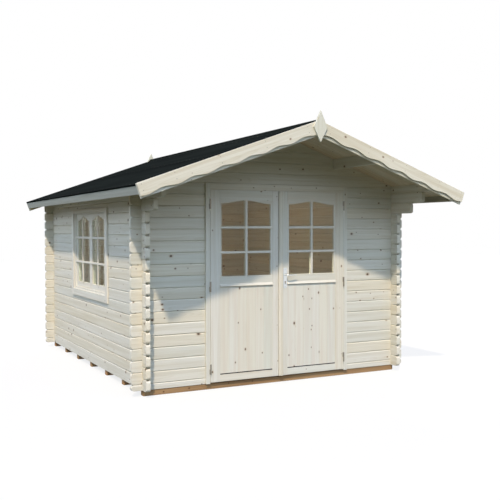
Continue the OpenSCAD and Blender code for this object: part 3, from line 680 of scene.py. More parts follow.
class Timber:
    """Boards gathered into one mesh, each with its grain along its own length."""

    # How far the grain is shifted along from one board to the next, in metres
    SHIFT = 0.61
    # The letters of a piece's name choose its first board's strip of grain among this many
    STRIPS = 89
    # A face is an end where its normal and the grain have at least this cosine between them
    END = 0.8

    def __init__(self, name: str, ease: float = 1.5 * MM) -> None:
        """Starts an empty mesh.

        Args:
            name: the finished piece's name.
            ease: the width of the flat along each edge, in metres.
        """
        self.name = name
        self.ease = ease
        self.mesh = bmesh.new()
        self.mesh.loops.layers.uv.new(GRAIN_MAP)
        self.boards = sum(ord(letter) for letter in name) % self.STRIPS

    def _lay(self, group: Sequence[bmesh.types.BMFace], uv: object, grain: Vector | None) -> None:
        """Lays the grain map on one board.

        Args:
            group: the board's faces.
            uv: the layer of the grain map.
            grain: the direction of the grain, or None for the longest side of the board's box.
        """
        low, high = corners(group)
        if grain is None:
            size = high - low
            grain = (X, Y, Z)[max(range(3), key=lambda i: size[i])]
        centre = (low + high) / 2
        helper = Y if abs(grain.y) < 0.5 else Z
        first = grain.cross(helper).normalized()
        second = grain.cross(first).normalized()
        strip = STRIP * self.boards
        for face in group:
            is_end = abs(face.normal.dot(grain)) > self.END
            face.material_index = int(is_end)
            face.smooth = False
            for loop in face.loops:
                place = loop.vert.co - centre
                a, b = place.dot(first), place.dot(second)
                u = a if is_end else place.dot(grain) + self.SHIFT * self.boards
                loop[uv].uv = (u, strip + (b if is_end else a + b))
        self.boards += 1

    def take(self, node: str, grain: Vector | None = None, hollows: Sequence[Box] = ()) -> "Timber":
        """Adds a copy of a CAD node's boards, with eased edges.

        Args:
            node: the CAD node's name.
            grain: the direction of the grain, or None for each board's longest side.
            hollows: the boxes cut out of the boards.

        Returns:
            This object.
        """
        part = bmesh.new()
        part.from_mesh(frame["nodes"][node].data)
        for layer in list(part.loops.layers.uv):
            part.loops.layers.uv.remove(layer)
        bmesh.ops.remove_doubles(part, verts=part.verts, dist=MERGE)
        flat = math.radians(0.6)
        bmesh.ops.dissolve_limit(part, angle_limit=flat, verts=part.verts, edges=part.edges)
        return self._join(part, grain, hollows)

    def prism(
        self, outline: Outline, place: Callable, near: float, far: float,
        grain: Vector | None = None,
    ) -> "Timber":
        """Adds one board with a given outline.

        Args:
            outline: the corners of the outline, in order.
            place: turns a point of the outline and a depth into a point in the frame.
            near: the depth of one face.
            far: the depth of the other face.
            grain: the direction of the grain, or None for the board's longest side.

        Returns:
            This object.
        """
        part = bmesh.new()
        ends = [[part.verts.new(place(a, b, d)) for a, b in outline] for d in (near, far)]
        for end in ends:
            part.faces.new(end)
        for i in range(len(outline)):
            j = (i + 1) % len(outline)
            part.faces.new((ends[0][i], ends[0][j], ends[1][j], ends[1][i]))
        bmesh.ops.recalc_face_normals(part, faces=part.faces)
        return self._join(part, grain)

    def box(
        self, low: Sequence[float], high: Sequence[float], grain: Vector | None = None
    ) -> "Timber":
        """Adds one straight board between two corners."""
        square = [(low[0], low[2]), (high[0], low[2]), (high[0], high[2]), (low[0], high[2])]
        return self.prism(square, upright, low[1], high[1], grain)

    def _join(
        self, part: bmesh.types.BMesh, grain: Vector | None, hollows: Sequence[Box] = ()
    ) -> "Timber":
        """Eases the edges of some boards, lays their grain and adds them to this mesh.

        Args:
            part: the boards, freed here.
            grain: the direction of the grain, or None for each board's longest side.
            hollows: the boxes cut out of the boards.

        Returns:
            This object.
        """
        ease_edges(part, self.ease)
        bmesh.ops.dissolve_degenerate(part, dist=0.01 * MM, edges=part.edges)
        if hollows:
            cut_boxes(part, hollows)
        uv = part.loops.layers.uv.get(GRAIN_MAP) or part.loops.layers.uv.new(GRAIN_MAP)
        part.normal_update()
        for group in islands(part):
            self._lay(group, uv, grain)
        made = bpy.data.meshes.new("part")
        part.to_mesh(made)
        part.free()
        # A copy of a CAD mesh brings normals that no longer fit its new edges
        stale = made.attributes.get("custom_normal")
        if stale:
            made.attributes.remove(stale)
        self.mesh.from_mesh(made)
        bpy.data.meshes.remove(made)
        return self

    def done(
        self, body: str, slot: str, materials: Materials, nodes: Sequence[str] = ()
    ) -> bpy.types.Object:
        """Makes the piece.

        Args:
            body: the CAD body that it rides on.
            slot: the record's material slot; not used.
            materials: the finish of its long faces and of its ends, or one finish for both.
            nodes: the CAD nodes that it stands for.

        Returns:
            The piece.
        """
        data = bpy.data.meshes.new(self.name)
        self.mesh.to_mesh(data)
        self.mesh.free()
        for number in range(2):
            data.materials.append(materials[number % len(materials)])
        return settle(bpy.data.objects.new(self.name, data), body, nodes)


def upright(a: float, b: float, depth: float) -> tuple[float, float, float]:
    """Places an outline drawn in X and Z, with its depth along Y."""
    return a, depth, b


def sideways(a: float, b: float, depth: float) -> tuple[float, float, float]:
    """Places an outline drawn in Y and Z, with its depth along X."""
    return depth, a, b


def lying(a: float, b: float, depth: float) -> tuple[float, float, float]:
    """Places an outline drawn in X and Y, with its depth along Z."""
    return a, b, depth


def settle(
    piece: bpy.types.Object, body: str, nodes: Sequence[str] = ()
) -> bpy.types.Object:
    """Puts a finished piece in the scene and on its body, and logs it.

    Args:
        piece: the piece, with its place in its mesh.
        body: the CAD body that it rides on.
        nodes: the CAD nodes that it stands for.

    Returns:
        The piece.
    """
    bpy.context.scene.collection.objects.link(piece)
    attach(piece, body)
    if nodes:
        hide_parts(*nodes)
    LOG.info("%s on %s: %d faces", piece.name, body, len(piece.data.polygons))
    return piece


def dress(node: str, material: bpy.types.Material) -> None:
    """Gives a CAD node that stays in view its finish.

    Args:
        node: the CAD node's name.
        material: the finish.
    """
    data = frame["nodes"][node].data
    data.materials.clear()
    data.materials.append(material)


def circle(centre: Sequence[float], radius: float, count: int) -> Outline:
    """Gives evenly spaced points on a circle, in the plane of an outline."""
    angles = [2 * math.pi * i / count for i in range(count)]
    return [(centre[0] + radius * math.cos(a), centre[1] + radius * math.sin(a)) for a in angles]


def arched(w: float, h: float, rise: float, steps: int = 24) -> Outline:
    """Gives the top edge of an opening under an arch that rises in an S from each side.

    Args:
        w: the width of the opening.
        h: its height at the sides.
        rise: the rise of the arch.
        steps: the number of straight steps.

    Returns:
        Points from the right side to the left side.
    """
    across = [w / 2 - w * i / steps for i in range(steps + 1)]
    return [(x, h + rise * (1 + math.cos(2 * math.pi * x / w)) / 2) for x in across]


# ---- What repeats: trees of geometry nodes ----


class Tree:
    """A tree of geometry nodes with named inputs, run on a mesh and turned into a plain mesh."""

    def __init__(self, name: str, numbers: Sequence[str]) -> None:
        """Starts a tree, which also has an input for its material.

        Args:
            name: the tree's name.
            numbers: the names of its inputs; the one called Count is a whole number.
        """
        self.tree = bpy.data.node_groups.new(name, "GeometryNodeTree")
        self.node = partial(add, self.tree)
        face = self.tree.interface
        face.new_socket("Geometry", in_out="INPUT", socket_type="NodeSocketGeometry")
        kinds = {key: "NodeSocketInt" if key == "Count" else "NodeSocketFloat" for key in numbers}
        self.ids = {
            key: face.new_socket(key, in_out="INPUT", socket_type=kind).identifier
            for key, kind in {**kinds, "Material": "NodeSocketMaterial"}.items()
        }
        face.new_socket("Geometry", in_out="OUTPUT", socket_type="NodeSocketGeometry")
        self.inputs = self.node("NodeGroupInput").outputs

    def close(self, instances: bpy.types.Node) -> None:
        """Ends the tree in real geometry with its material.

        Args:
            instances: the node that gives the instances, or a mesh that is already real.
        """
        real = self.node("GeometryNodeRealizeInstances", {"Geometry": instances})
        finish = {"Geometry": real, "Material": self.inputs["Material"]}
        self.node("NodeGroupOutput", {"Geometry": self.node("GeometryNodeSetMaterial", finish)})

    def run(
        self, name: str, values: dict[str, object], start: bpy.types.Mesh | None = None
    ) -> bpy.types.Object:
        """Runs the tree once.

        Args:
            name: the new piece's name.
            values: the value of each named input.
            start: the mesh that the tree works on, if it needs one.

        Returns:
            An object that holds the result as a plain mesh.
        """
        base = bpy.data.objects.new("base", start or bpy.data.meshes.new("base"))
        bpy.context.scene.collection.objects.link(base)
        modifier = base.modifiers.new("nodes", "NODES")
        modifier.node_group = self.tree
        for key, value in values.items():
            modifier[self.ids[key]] = value
        data = plain_mesh(base)
        data.name = name
        bpy.data.objects.remove(base)
        return bpy.data.objects.new(name, data)


class BoardRow(Tree):
    """A row of tongued boards along Y, each lying along X, with a groove at each joint."""

    # How far the grain is shifted along from one board to the next, in metres
    SHIFT = 0.37

    def __init__(self) -> None:
        """Builds the tree."""
        names = ("Count", "Pitch", "Gap", "Thickness", "Length", "Ease", "First board")
        super().__init__("board_row", names)
        node, given = self.node, self.inputs
        pitch, first = given["Pitch"], given["First board"]
        width = node("ShaderNodeMath", {0: pitch, 1: given["Gap"]}, operation="SUBTRACT")
        step = node("ShaderNodeCombineXYZ", {1: pitch})
        line = node(
            "GeometryNodeMeshLine", {"Count": given["Count"], "Offset": step}, mode="OFFSET"
        )
        tip = node("ShaderNodeCombineXYZ", {0: given["Length"]})
        path = node("GeometryNodeCurvePrimitiveLine", {"End": tip})
        size = {"Width": width, "Height": given["Thickness"]}
        section = node("GeometryNodeCurvePrimitiveQuadrilateral", size)
        flats = {"Curve": section, "Radius": given["Ease"], "Count": 1}
        eased = node("GeometryNodeFilletCurve", flats, mode="POLY")
        drawn = {"Curve": path, "Profile Curve": eased, "Fill Caps": True}
        board = node("GeometryNodeCurveToMesh", drawn)
        row = node("GeometryNodeInstanceOnPoints", {"Points": line, "Instance": board})
        numbers = {"Geometry": row, "Name": "board", "Value": node("GeometryNodeInputIndex")}
        named = node(
            "GeometryNodeStoreNamedAttribute", numbers, data_type="FLOAT", domain="INSTANCE"
        )
        real = node("GeometryNodeRealizeInstances", {"Geometry": named})
        stored = node("GeometryNodeInputNamedAttribute", {"Name": "board"}, data_type="FLOAT")
        number = stored.outputs[0]
        whole = node("ShaderNodeMath", {0: number, 1: first}, operation="ADD")
        spot = node("ShaderNodeSeparateXYZ", {0: node("GeometryNodeInputPosition")}).outputs
        shift = node("ShaderNodeMath", {0: number, 1: pitch}, operation="MULTIPLY")
        local = node("ShaderNodeMath", {0: spot[1], 1: shift}, operation="SUBTRACT")
        across = node("ShaderNodeMath", {0: local, 1: spot[2]}, operation="ADD")
        v = node("ShaderNodeMath", {0: whole, 1: STRIP, 2: across}, operation="MULTIPLY_ADD")
        u = node("ShaderNodeMath", {0: whole, 1: self.SHIFT, 2: spot[0]}, operation="MULTIPLY_ADD")
        uv = node("ShaderNodeCombineXYZ", {0: u, 1: v})
        grain = {"Geometry": real, "Name": GRAIN_MAP, "Value": uv}
        mapped = node("GeometryNodeStoreNamedAttribute", grain, data_type="FLOAT2", domain="CORNER")
        self.close(node("GeometryNodeSetShadeSmooth", {"Geometry": mapped, "Shade Smooth": False}))

    def lay(
        self, name: str, count: int, size: Sequence[float], gap: float, ease: float, first: float,
        material: bpy.types.Material,
    ) -> bpy.types.Object:
        """Lays a row of boards.

        Args:
            name: the new piece's name.
            count: the number of boards.
            size: the length of a board, the width of the whole row and the boards' thickness.
            gap: the open joint between two boards.
            ease: the width of the flats that make the groove at a joint.
            first: the first board's strip of grain.
            material: the finish.

        Returns:
            An object that holds the boards, the middle of the first one at the origin.
        """
        length, width, thickness = size
        values = {"Count": count, "Pitch": width / count, "Gap": gap, "Thickness": thickness}
        values |= {"Length": length, "Ease": ease, "First board": first, "Material": material}
        return self.run(name, values)


class Heads(Tree):
    """Round heads of nails or screws, one on each point of a mesh, facing the way it says."""

    FACING = "facing"
    # Share of a head's radius that its flat top takes
    CROWN = 0.72

    def __init__(self) -> None:
        """Builds the tree."""
        super().__init__("heads", ("Radius", "Height"))
        node, given = self.node, self.inputs
        radius = given["Radius"]
        top = node("ShaderNodeMath", {0: radius, 1: self.CROWN}, operation="MULTIPLY")
        shape = {
            "Vertices": 12, "Radius Top": top, "Radius Bottom": radius, "Depth": given["Height"]
        }
        head = node("GeometryNodeMeshCone", shape).outputs["Mesh"]
        asked = {"Name": self.FACING}
        facing = node("GeometryNodeInputNamedAttribute", asked, data_type="FLOAT_VECTOR")
        turn = node("FunctionNodeAlignRotationToVector", {"Vector": facing}, axis="Z")
        points = node("GeometryNodeMeshToPoints", {"Mesh": given["Geometry"]})
        placed = {"Points": points, "Instance": head, "Rotation": turn}
        self.close(node("GeometryNodeInstanceOnPoints", placed))

    def at(
        self, name: str, spots: Sequence[Box], radius: float, height: float,
        material: bpy.types.Material,
    ) -> bpy.types.Object:
        """Puts a head at each spot.

        Args:
            name: the new piece's name.
            spots: the place and the facing direction of each head.
            radius: the radius of a head, in metres.
            height: how far a head stands up, in metres.
            material: the finish.

        Returns:
            An object that holds all the heads.
        """
        start = bpy.data.meshes.new("spots")
        start.from_pydata([tuple(place) for place, _ in spots], [], [])
        facing = start.attributes.new(self.FACING, "FLOAT_VECTOR", "POINT")
        for number, (_, direction) in enumerate(spots):
            facing.data[number].vector = direction
        return self.run(name, {"Radius": radius, "Height": height, "Material": material}, start)


# ---- The cabin's parts ----


@dataclass
class Walls:
    """The log walls, the gables and the purlins, with the tongues that close their joints."""

    finishes: Finishes
    course: float = 114 * MM
    # Joints between the logs of a side wall, of a front or back wall, and those with hollows
    side_joints: int = 17
    end_joints: int = 17
    hollow_joints: int = 14
    tongue_w: float = 10 * MM
    tongue_h: float = 12 * MM
    # How far a tongue stops short of the end of its log
    tongue_back: float = 55 * MM
    # Hollow milled across each joint at the ends of the side walls' logs
    hollow_w: float = 31 * MM
    hollow_h: float = 17 * MM
    hollow_d: float = 48 * MM
    hollow_below: float = 1 * MM

    def build(self) -> None:
        """Builds every piece of the walls."""
        wood = self.finishes.timber["wall_log"]
        for node, grain in (
            ("left_wall_logs", Y),
            ("right_wall_logs", Y),
            ("back_wall_logs", X),
            ("front_wall_left_logs", X),
            ("front_wall_right_logs", X),
            ("front_gable_logs", X),
            ("back_gable_logs", X),
            ("ridge_purlin", Y),
            ("side_purlins", Y),
        ):
            hollows = self.hollows(node) if node in ("left_wall_logs", "right_wall_logs") else ()
            piece = Timber(f"{node}_planed").take(node, grain, hollows)
            piece.done("cabin", "wall_log", wood, [node])
        self.tongues(wood)

    def hollows(self, node: str) -> list[Box]:
        """Places the hollows in the ends of a side wall's logs.

        Args:
            node: the wall's CAD node.

        Returns:
            The lowest and highest corner of each hollow.
        """
        low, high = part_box(node)
        mid = (low.x + high.x) / 2
        # The logs of both walls of a corner reach equally far past it
        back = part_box("back_wall_logs")[1]
        end = back.y + back.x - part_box("right_wall_logs")[1].x
        half = Vector((self.hollow_w / 2, self.hollow_d, self.hollow_h / 2))
        boxes = []
        for k in range(1, self.hollow_joints + 1):
            for y in (-end, end):
                centre = Vector((mid, y, low.z + k * self.course - self.hollow_below))
                boxes.append((centre - half, centre + half))
        return boxes

    def tongues(self, wood: Materials) -> None:
        """Builds the tongues in the joints between the logs.

        Args:
            wood: the finish of the logs.
        """
        piece = Timber("log_tongues", ease=0.5 * MM)
        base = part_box("left_wall_logs")[0].z
        half_w, half_h = self.tongue_w / 2, self.tongue_h / 2
        frame_low, frame_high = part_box("window_frame")
        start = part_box("front_wall_left_logs")[0].y + self.tongue_back
        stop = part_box("back_wall_logs")[1].y - self.tongue_back
        for node in ("left_wall_logs", "right_wall_logs"):
            low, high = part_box(node)
            mid = (low.x + high.x) / 2
            for k in range(1, self.side_joints + 1):
                z = base + k * self.course
                spans = [(start, stop)]
                if node == "left_wall_logs" and frame_low.z < z < frame_high.z:
                    spans = [(start, frame_low.y), (frame_high.y, stop)]
                for a, b in spans:
                    piece.box((mid - half_w, a, z - half_h), (mid + half_w, b, z + half_h))
        for node in ("front_wall_left_logs", "front_wall_right_logs", "back_wall_logs"):
            low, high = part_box(node)
            a = low.x + (self.tongue_back if node != "front_wall_right_logs" else 0)
            b = high.x - (self.tongue_back if node != "front_wall_left_logs" else 0)
            mid = (low.y + high.y) / 2
            for k in range(self.end_joints):
                z = base + (k + 0.5) * self.course
                piece.box((a, mid - half_w, z - half_h), (b, mid + half_w, z + half_h))
        piece.done("cabin", "wall_log", wood)


@dataclass
class Floor:
    """The joists on the ground and the boards on them."""

    finishes: Finishes
    rows: BoardRow
    pitch: float = 119 * MM
    gap: float = 0.6 * MM
    ease: float = 1.5 * MM
    joist_ease: float = 2.5 * MM
    first_strip: float = 300.0

    def build(self) -> None:
        """Builds the joists and the floor boards."""
        treated = self.finishes.timber["treated_joist"]
        joists = Timber("joists_planed", self.joist_ease).take("floor_joists", X)
        joists.done("cabin", "treated_joist", treated, ["floor_joists"])
        low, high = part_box("floor_boards")
        width = high.x - low.x
        count = round(width / self.pitch)
        size, wood = (high.y - low.y, width, high.z - low.z), self.finishes.timber["floor_board"]
        piece = self.rows.lay(
            "floor_boarding", count, size, self.gap, self.ease, self.first_strip, wood[0]
        )
        # The row runs along Y with its boards along X: turned so that the boards lie along Y
        turn = Matrix.Rotation(math.radians(90), 4, "Z")
        place = Matrix.Translation((high.x - width / count / 2, low.y, (low.z + high.z) / 2))
        piece.data.transform(place @ turn)
        settle(piece, "cabin", ["floor_boards"])


@dataclass
class Roof:
    """The boarded roof with its felt, eave boards, bargeboards and finials."""

    finishes: Finishes
    rows: BoardRow
    heads: Heads
    deck_t: float = 19 * MM
    board_pitch: float = 96 * MM
    gap: float = 0.8 * MM
    groove: float = 4 * MM
    # The first board's strip of grain, and how far off that each slope's lies
    first_strip: float = 430.0
    strip_step: float = 30.0
    felt_t: float = 2.2 * MM
    # Width of one strip of felt up the slope, how far the upper strip laps over it, and the
    # stretch in which it rises on to it
    felt_w: float = 1.0
    felt_lap: float = 80 * MM
    felt_rise: float = 6 * MM
    felt_ease: float = 0.4 * MM
    ridge_cap: float = 160 * MM
    # Right half of the felt over the ridge batten: way from the ridge, height over the ridge below
    ridge_roll: Outline = (
        (0.0, 22.0), (12.0, 20.0), (23.0, 13.0), (32.0, 2.0), (43.0, -10.0), (62.0, -19.5)
    )
    # Felt that is turned over the eave board and the back bargeboard
    turned_in: float = 60 * MM
    turned_t: float = 1.6 * MM
    turned_down: float = 14 * MM
    board_top: float = 23 * MM
    eave_t: float = 18.3 * MM
    trim_ease: float = 2 * MM
    # Radius and height of the heads of nails and screws, and their places: way down the slope
    # and height over the underside of the boards
    nail: tuple[float, float] = (5 * MM, 1.2 * MM)
    nail_pitch: float = 100 * MM
    nail_in: float = 22 * MM
    screw: tuple[float, float] = (3.6 * MM, 0.8 * MM)
    screws_down: Sequence[float] = (0.14, 0.62, 1.1, 1.56, 1.88)
    screws_up: Sequence[float] = (-0.045, 0.012)
    slope_l: float = field(init=False)
    ridge: Vector = field(init=False)

    def __post_init__(self) -> None:
        """Reads the roof's size from the CAD boards."""
        low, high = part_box("left_roof_boards")
        self.y0, self.y1 = low.y, high.y
        cos, sin = math.cos(ROOF_PITCH), math.sin(ROOF_PITCH)
        # The eave corner on the underside of the boards is the lowest point of the boards
        self.slope_l = (-low.x - self.deck_t * sin) / cos
        self.ridge = Vector((0, 0, low.z + self.slope_l * sin))

    def place(self, side: Side) -> Callable:
        """Gives the function that places a point of a slope.

        Args:
            side: the slope's side.

        Returns:
            A function of the way down the slope, the height over the underside of the boards,
            and the place along Y.
        """
        cos, sin = math.cos(ROOF_PITCH), math.sin(ROOF_PITCH)

        def at(s: float, n: float, y: float) -> Vector:
            """Places one point."""
            return self.ridge + Vector((side.sign * (s * cos + n * sin), y, n * cos - s * sin))

        return at

    def build(self) -> None:
        """Builds every piece of the roof."""
        for side in Side:
            self.boards(side)
            self.felt(side)
            self.trim(side)
        self.cap()
        for node in ("front_finial", "back_finial"):
            self.plane(node, Z, "roof_trim")
        self.nails()

    def plane(self, node: str, grain: Vector, finish: str) -> None:
        """Builds the planed piece of one trim board.

        Args:
            node: the CAD node.
            grain: the direction of its grain.
            finish: the key of its finish.
        """
        piece = Timber(f"{node}_planed", self.trim_ease).take(node, grain)
        piece.done("cabin", "roof_trim", self.finishes.timber[finish], [node])

    def boards(self, side: Side) -> None:
        """Builds the tongued boards of one slope.

        Args:
            side: the slope's side.
        """
        width = self.y1 - self.y0
        count = round(width / self.board_pitch)
        pitch = width / count
        first = self.first_strip + self.strip_step * side.sign
        size, wood = (self.slope_l, width, self.deck_t), self.finishes.timber["roof_board"]
        name = f"{side.value}_roof_boarding"
        piece = self.rows.lay(name, count, size, self.gap, self.groove, first, wood[0])
        lift = Matrix.Translation((0, self.y0 + pitch / 2, self.deck_t / 2))
        turn = Matrix.Rotation(ROOF_PITCH, 4, "Y")
        if side is Side.LEFT:
            turn = Matrix.Rotation(math.pi, 4, "Z") @ turn
            lift = Matrix.Translation((0, -self.y1 + pitch / 2, self.deck_t / 2))
        piece.data.transform(Matrix.Translation(self.ridge) @ turn @ lift)
        settle(piece, "cabin", [f"{side.value}_roof_boards"])

    def felt(self, side: Side) -> None:
        """Lays the two strips of felt on one slope, lapped, and turns them over the edge boards.

        Args:
            side: the slope's side.
        """
        at = self.place(side)
        t, n = self.felt_t, self.deck_t
        top = self.slope_l - self.felt_w
        lap, rise = top + self.felt_lap, top - self.felt_rise
        lower = [(top, n), (self.slope_l, n), (self.slope_l, n + t), (top, n + t)]
        upper = [
            (0.0, n), (rise, n), (top, n + t), (lap, n + t), (lap, n + 2 * t), (top, n + 2 * t),
            (rise, n + t), (0.0, n + t),
        ]
        eave = self.slope_l + self.eave_t
        piece = Timber(f"{side.value}_felt_strips", self.felt_ease)
        for outline in (lower, upper, self.turned(self.slope_l, eave)):
            piece.prism(outline, at, self.y0, self.y1, Y)
        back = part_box(f"{side.value}_back_bargeboard")
        over_back = self.turned(back[0].y, back[1].y)
        piece.prism(over_back, lambda y, n, s: at(s, n, y), 0.0, eave, Y)
        piece.done("cabin", "roofing_felt", [self.finishes.felt], [f"{side.value}_roof_felt"])

    def turned(self, edge: float, face: float) -> Outline:
        """Gives the outline of a strip of felt that is turned over a board.

        Args:
            edge: where the roof boards end.
            face: where the board's outer face is.

        Returns:
            Points of the way across the board and the height over the underside of the boards.
        """
        low, t, top = self.deck_t + self.felt_t, self.turned_t, self.board_top
        down = top - self.turned_down
        return [
            (edge - self.turned_in, low), (edge - 5 * MM, low), (edge, top), (face, top),
            (face, down), (face + t, down), (face + t, top + t), (edge - 1 * MM, top + t),
            (edge - 6 * MM, low + t), (edge - self.turned_in, low + t),
        ]

    def cap(self) -> None:
        """Lays the strip of felt that is bent over the batten on the ridge."""
        n = self.deck_t + self.felt_t
        at = self.place(Side.RIGHT)
        peak = self.ridge.z + n / math.cos(ROOF_PITCH)
        roll = [(x * MM, peak + z * MM) for x, z in self.ridge_roll]
        edge, under = at(self.ridge_cap, n + self.felt_t, 0), at(self.ridge_cap, n, 0)
        right = [*roll, (edge.x, edge.z), (under.x, under.z)]
        left = [(-x, z) for x, z in reversed(right[1:])]
        piece = Timber("ridge_felt", self.felt_ease)
        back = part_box("back_finial")[0].y
        piece.prism([*right, (0, peak), *left], upright, self.y0 + 1 * MM, back, Y)
        piece.done("cabin", "roofing_felt", [self.finishes.felt])

    def trim(self, side: Side) -> None:
        """Builds the eave board and the bargeboards of one slope.

        Args:
            side: the slope's side.
        """
        down = self.place(side)(1, 0, 0) - self.place(side)(0, 0, 0)
        self.plane(f"{side.value}_eave_board", Y, "eave_trim")
        for board in ("front_bargeboard", "barge_backing", "back_bargeboard"):
            self.plane(f"{side.value}_{board}", down, "roof_trim")

    def nails(self) -> None:
        """Drives clout nails through the felt and screws through the bargeboards."""
        spots, screws = [], []
        length = self.y1 - self.y0
        count = int(length / self.nail_pitch)
        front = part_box("left_front_bargeboard")[0].y
        lap = self.slope_l - self.felt_w + self.felt_lap
        height = self.deck_t + 2 * self.felt_t
        for side in Side:
            at = self.place(side)
            up = (at(0, 1, 0) - at(0, 0, 0)).normalized()
            for i in range(count):
                y = self.y0 + (i + 0.5) * length / count
                for edge in (lap, self.slope_l, self.ridge_cap):
                    spots.append((at(edge - self.nail_in, height, y), up))
            screws += [(at(s, n, front), -Y) for s in self.screws_down for n in self.screws_up]
        nails = self.heads.at("clout_nails", spots, *self.nail, self.finishes.dark)
        settle(nails, "cabin")
        screws = self.heads.at("bargeboard_screws", screws, *self.screw, self.finishes.steel)
        settle(screws, "cabin")


@dataclass
class DoorLeaf:
    """One leaf of the double door: stiles and rails round a glazed top and a boarded panel."""

    finishes: Finishes
    rows: BoardRow
    side: Side
    glass_w: float = 560 * MM
    glass_z: float = 1.055
    glass_h: float = 730 * MM
    arch: float = 33 * MM
    bead: float = 20 * MM
    bead_back: float = 3 * MM
    panel_w: float = 600 * MM
    panel_z: float = 75 * MM
    panel_h: float = 878 * MM
    panel_boards: int = 6
    board_gap: float = 0.5 * MM
    board_ease: float = 1.5 * MM
    # The first board's strip of grain, and how far off that each leaf's lies
    first_strip: float = 525.0
    strip_step: float = 5.0
    bar_w: float = 24 * MM
    bar_back: float = 1 * MM
    bar_end: float = 4 * MM
    bar_ease: float = 2.5 * MM
    bar_zs: tuple[float, float] = (1.294, 1.545)
    drip_h: float = 28 * MM
    drip_out: float = 11 * MM
    drip_edge: float = 3 * MM
    # Groove under the panel boards, half over and half under the line of the rail, with a near-black
    # strip in it as painted shade; behind it the boards stand in a slot
    groove_h: float = 11 * MM
    groove_d: float = 16 * MM
    slot_back: float = 24 * MM
    seal_back: float = 5 * MM
    # Beads that hold the boards inside
    stop_w: float = 14 * MM
    stop_back: float = 2 * MM
    stop_ease: float = 3 * MM

    def __post_init__(self) -> None:
        """Reads the leaf's place from the CAD leaf and pane."""
        name = self.side.value
        self.low, self.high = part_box(f"{name}_door_leaf")
        pane_low, pane_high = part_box(f"{name}_door_pane")
        self.xc = (pane_low.x + pane_high.x) / 2
        self.x0, self.x1 = self.xc - self.panel_w / 2, self.xc + self.panel_w / 2
        self.pane_y = (pane_low.y, pane_high.y)
        self.face_y = self.low.y + self.drip_out
        self.back_y = self.high.y
        self.z = self.low.z
        self.body = f"{name}_door"
        self.wood = self.finishes.timber["joinery"]

    def build(self) -> None:
        """Builds the leaf."""
        self.frame()
        self.panel()
        self.beads()
        self.seal()
        self.bars()
        dress(f"{self.side.value}_door_pane", self.finishes.glass)

    def frame(self) -> None:
        """Builds the stiles, the rails and the weather bar over the panel."""
        y0, y1, x0, x1, z = self.face_y, self.back_y, self.x0, self.x1, self.z
        glass = z + self.glass_z
        piece = Timber(f"{self.side.value}_leaf_frame")
        piece.box((self.low.x, y0, z), (x0, y1, self.high.z), Z)
        piece.box((x1, y0, z), (self.high.x, y1, self.high.z), Z)
        top, step = z + self.panel_z + self.groove_h / 2, z + self.panel_z - self.groove_h / 2
        slot, groove = y0 + self.slot_back, y0 + self.groove_d
        grooved = [
            (y0, z), (y1, z), (y1, step), (slot, step), (slot, top), (groove, top), (groove, step),
            (y0, step),
        ]
        piece.prism(grooved, sideways, x0, x1, X)
        rail = z + self.panel_z + self.panel_h
        piece.box((x0, y0, rail), (x1, y1, glass), X)
        side_top = glass + self.glass_h
        arch = [(self.xc + x, glass + h) for x, h in arched(self.glass_w, self.glass_h, self.arch)]
        head = [(x0, side_top), (x0, self.high.z), (x1, self.high.z), (x1, side_top), *arch]
        piece.prism(head, upright, y0, y1, X)
        for a, b in ((x0, x0 + self.bead), (x1 - self.bead, x1)):
            piece.box((a, y0 + self.bead_back, glass), (b, y1 - self.bead_back, side_top), Z)
        out, edge, high = y0 - self.drip_out, rail + self.drip_edge, rail + self.drip_h
        drip = [(y0 + MM, rail), (out, rail), (out, edge), (y0, high), (y0 + MM, high)]
        piece.prism(drip, sideways, x0, x1, X)
        piece.done(self.body, "joinery", self.wood, [f"{self.side.value}_door_leaf"])

    def panel_box(self) -> Box:
        """Measures the panel over its groove.

        Returns:
            Its lowest and highest corner.
        """
        low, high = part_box(f"{self.side.value}_door_panel")
        low.z += self.groove_h / 2
        return low, high

    def panel(self) -> None:
        """Builds the upright tongued boards of the panel."""
        low, high = self.panel_box()
        size = (high.z - low.z, high.x - low.x, high.y - low.y)
        first = self.first_strip + self.strip_step * self.side.sign
        name, board = f"{self.side.value}_panel_boards", self.finishes.timber["door_board"][0]
        count = self.panel_boards
        piece = self.rows.lay(name, count, size, self.board_gap, self.board_ease, first, board)
        # Boards along X in a row along Y become upright boards in a row along X
        turn = Matrix(((0, 1, 0), (0, 0, 1), (1, 0, 0))).to_4x4()
        place = Matrix.Translation((low.x + size[1] / count / 2, (low.y + high.y) / 2, low.z))
        piece.data.transform(place @ turn)
        settle(piece, self.body, [f"{self.side.value}_door_panel"])

    def beads(self) -> None:
        """Builds the beads that hold the panel boards inside."""
        low, high = self.panel_box()
        piece = Timber(f"{self.side.value}_panel_beads", self.stop_ease)
        w, near, far = self.stop_w, high.y + TOUCH, self.back_y - self.stop_back
        piece.box((low.x, near, low.z), (low.x + w, far, high.z), Z)
        piece.box((high.x - w, near, low.z), (high.x, far, high.z), Z)
        for edge in (low.z, high.z - w):
            piece.box((low.x + w, near, edge), (high.x - w, far, edge + w), X)
        piece.done(self.body, "joinery", self.wood)

    def seal(self) -> None:
        """Builds the near-black strip in the groove under the panel: painted shade in the groove."""
        line, half = self.z + self.panel_z, self.groove_h / 2
        low = (self.x0, self.face_y + self.seal_back, line - half)
        high = (self.x1, self.face_y + self.groove_d, line + half - MM)
        # The strip is painted shade: near black where the groove stands in shade
        piece = Timber(f"{self.side.value}_panel_seal", ease=0.5 * MM).box(low, high, X)
        piece.done(self.body, "roofing_felt", [self.finishes.dark])

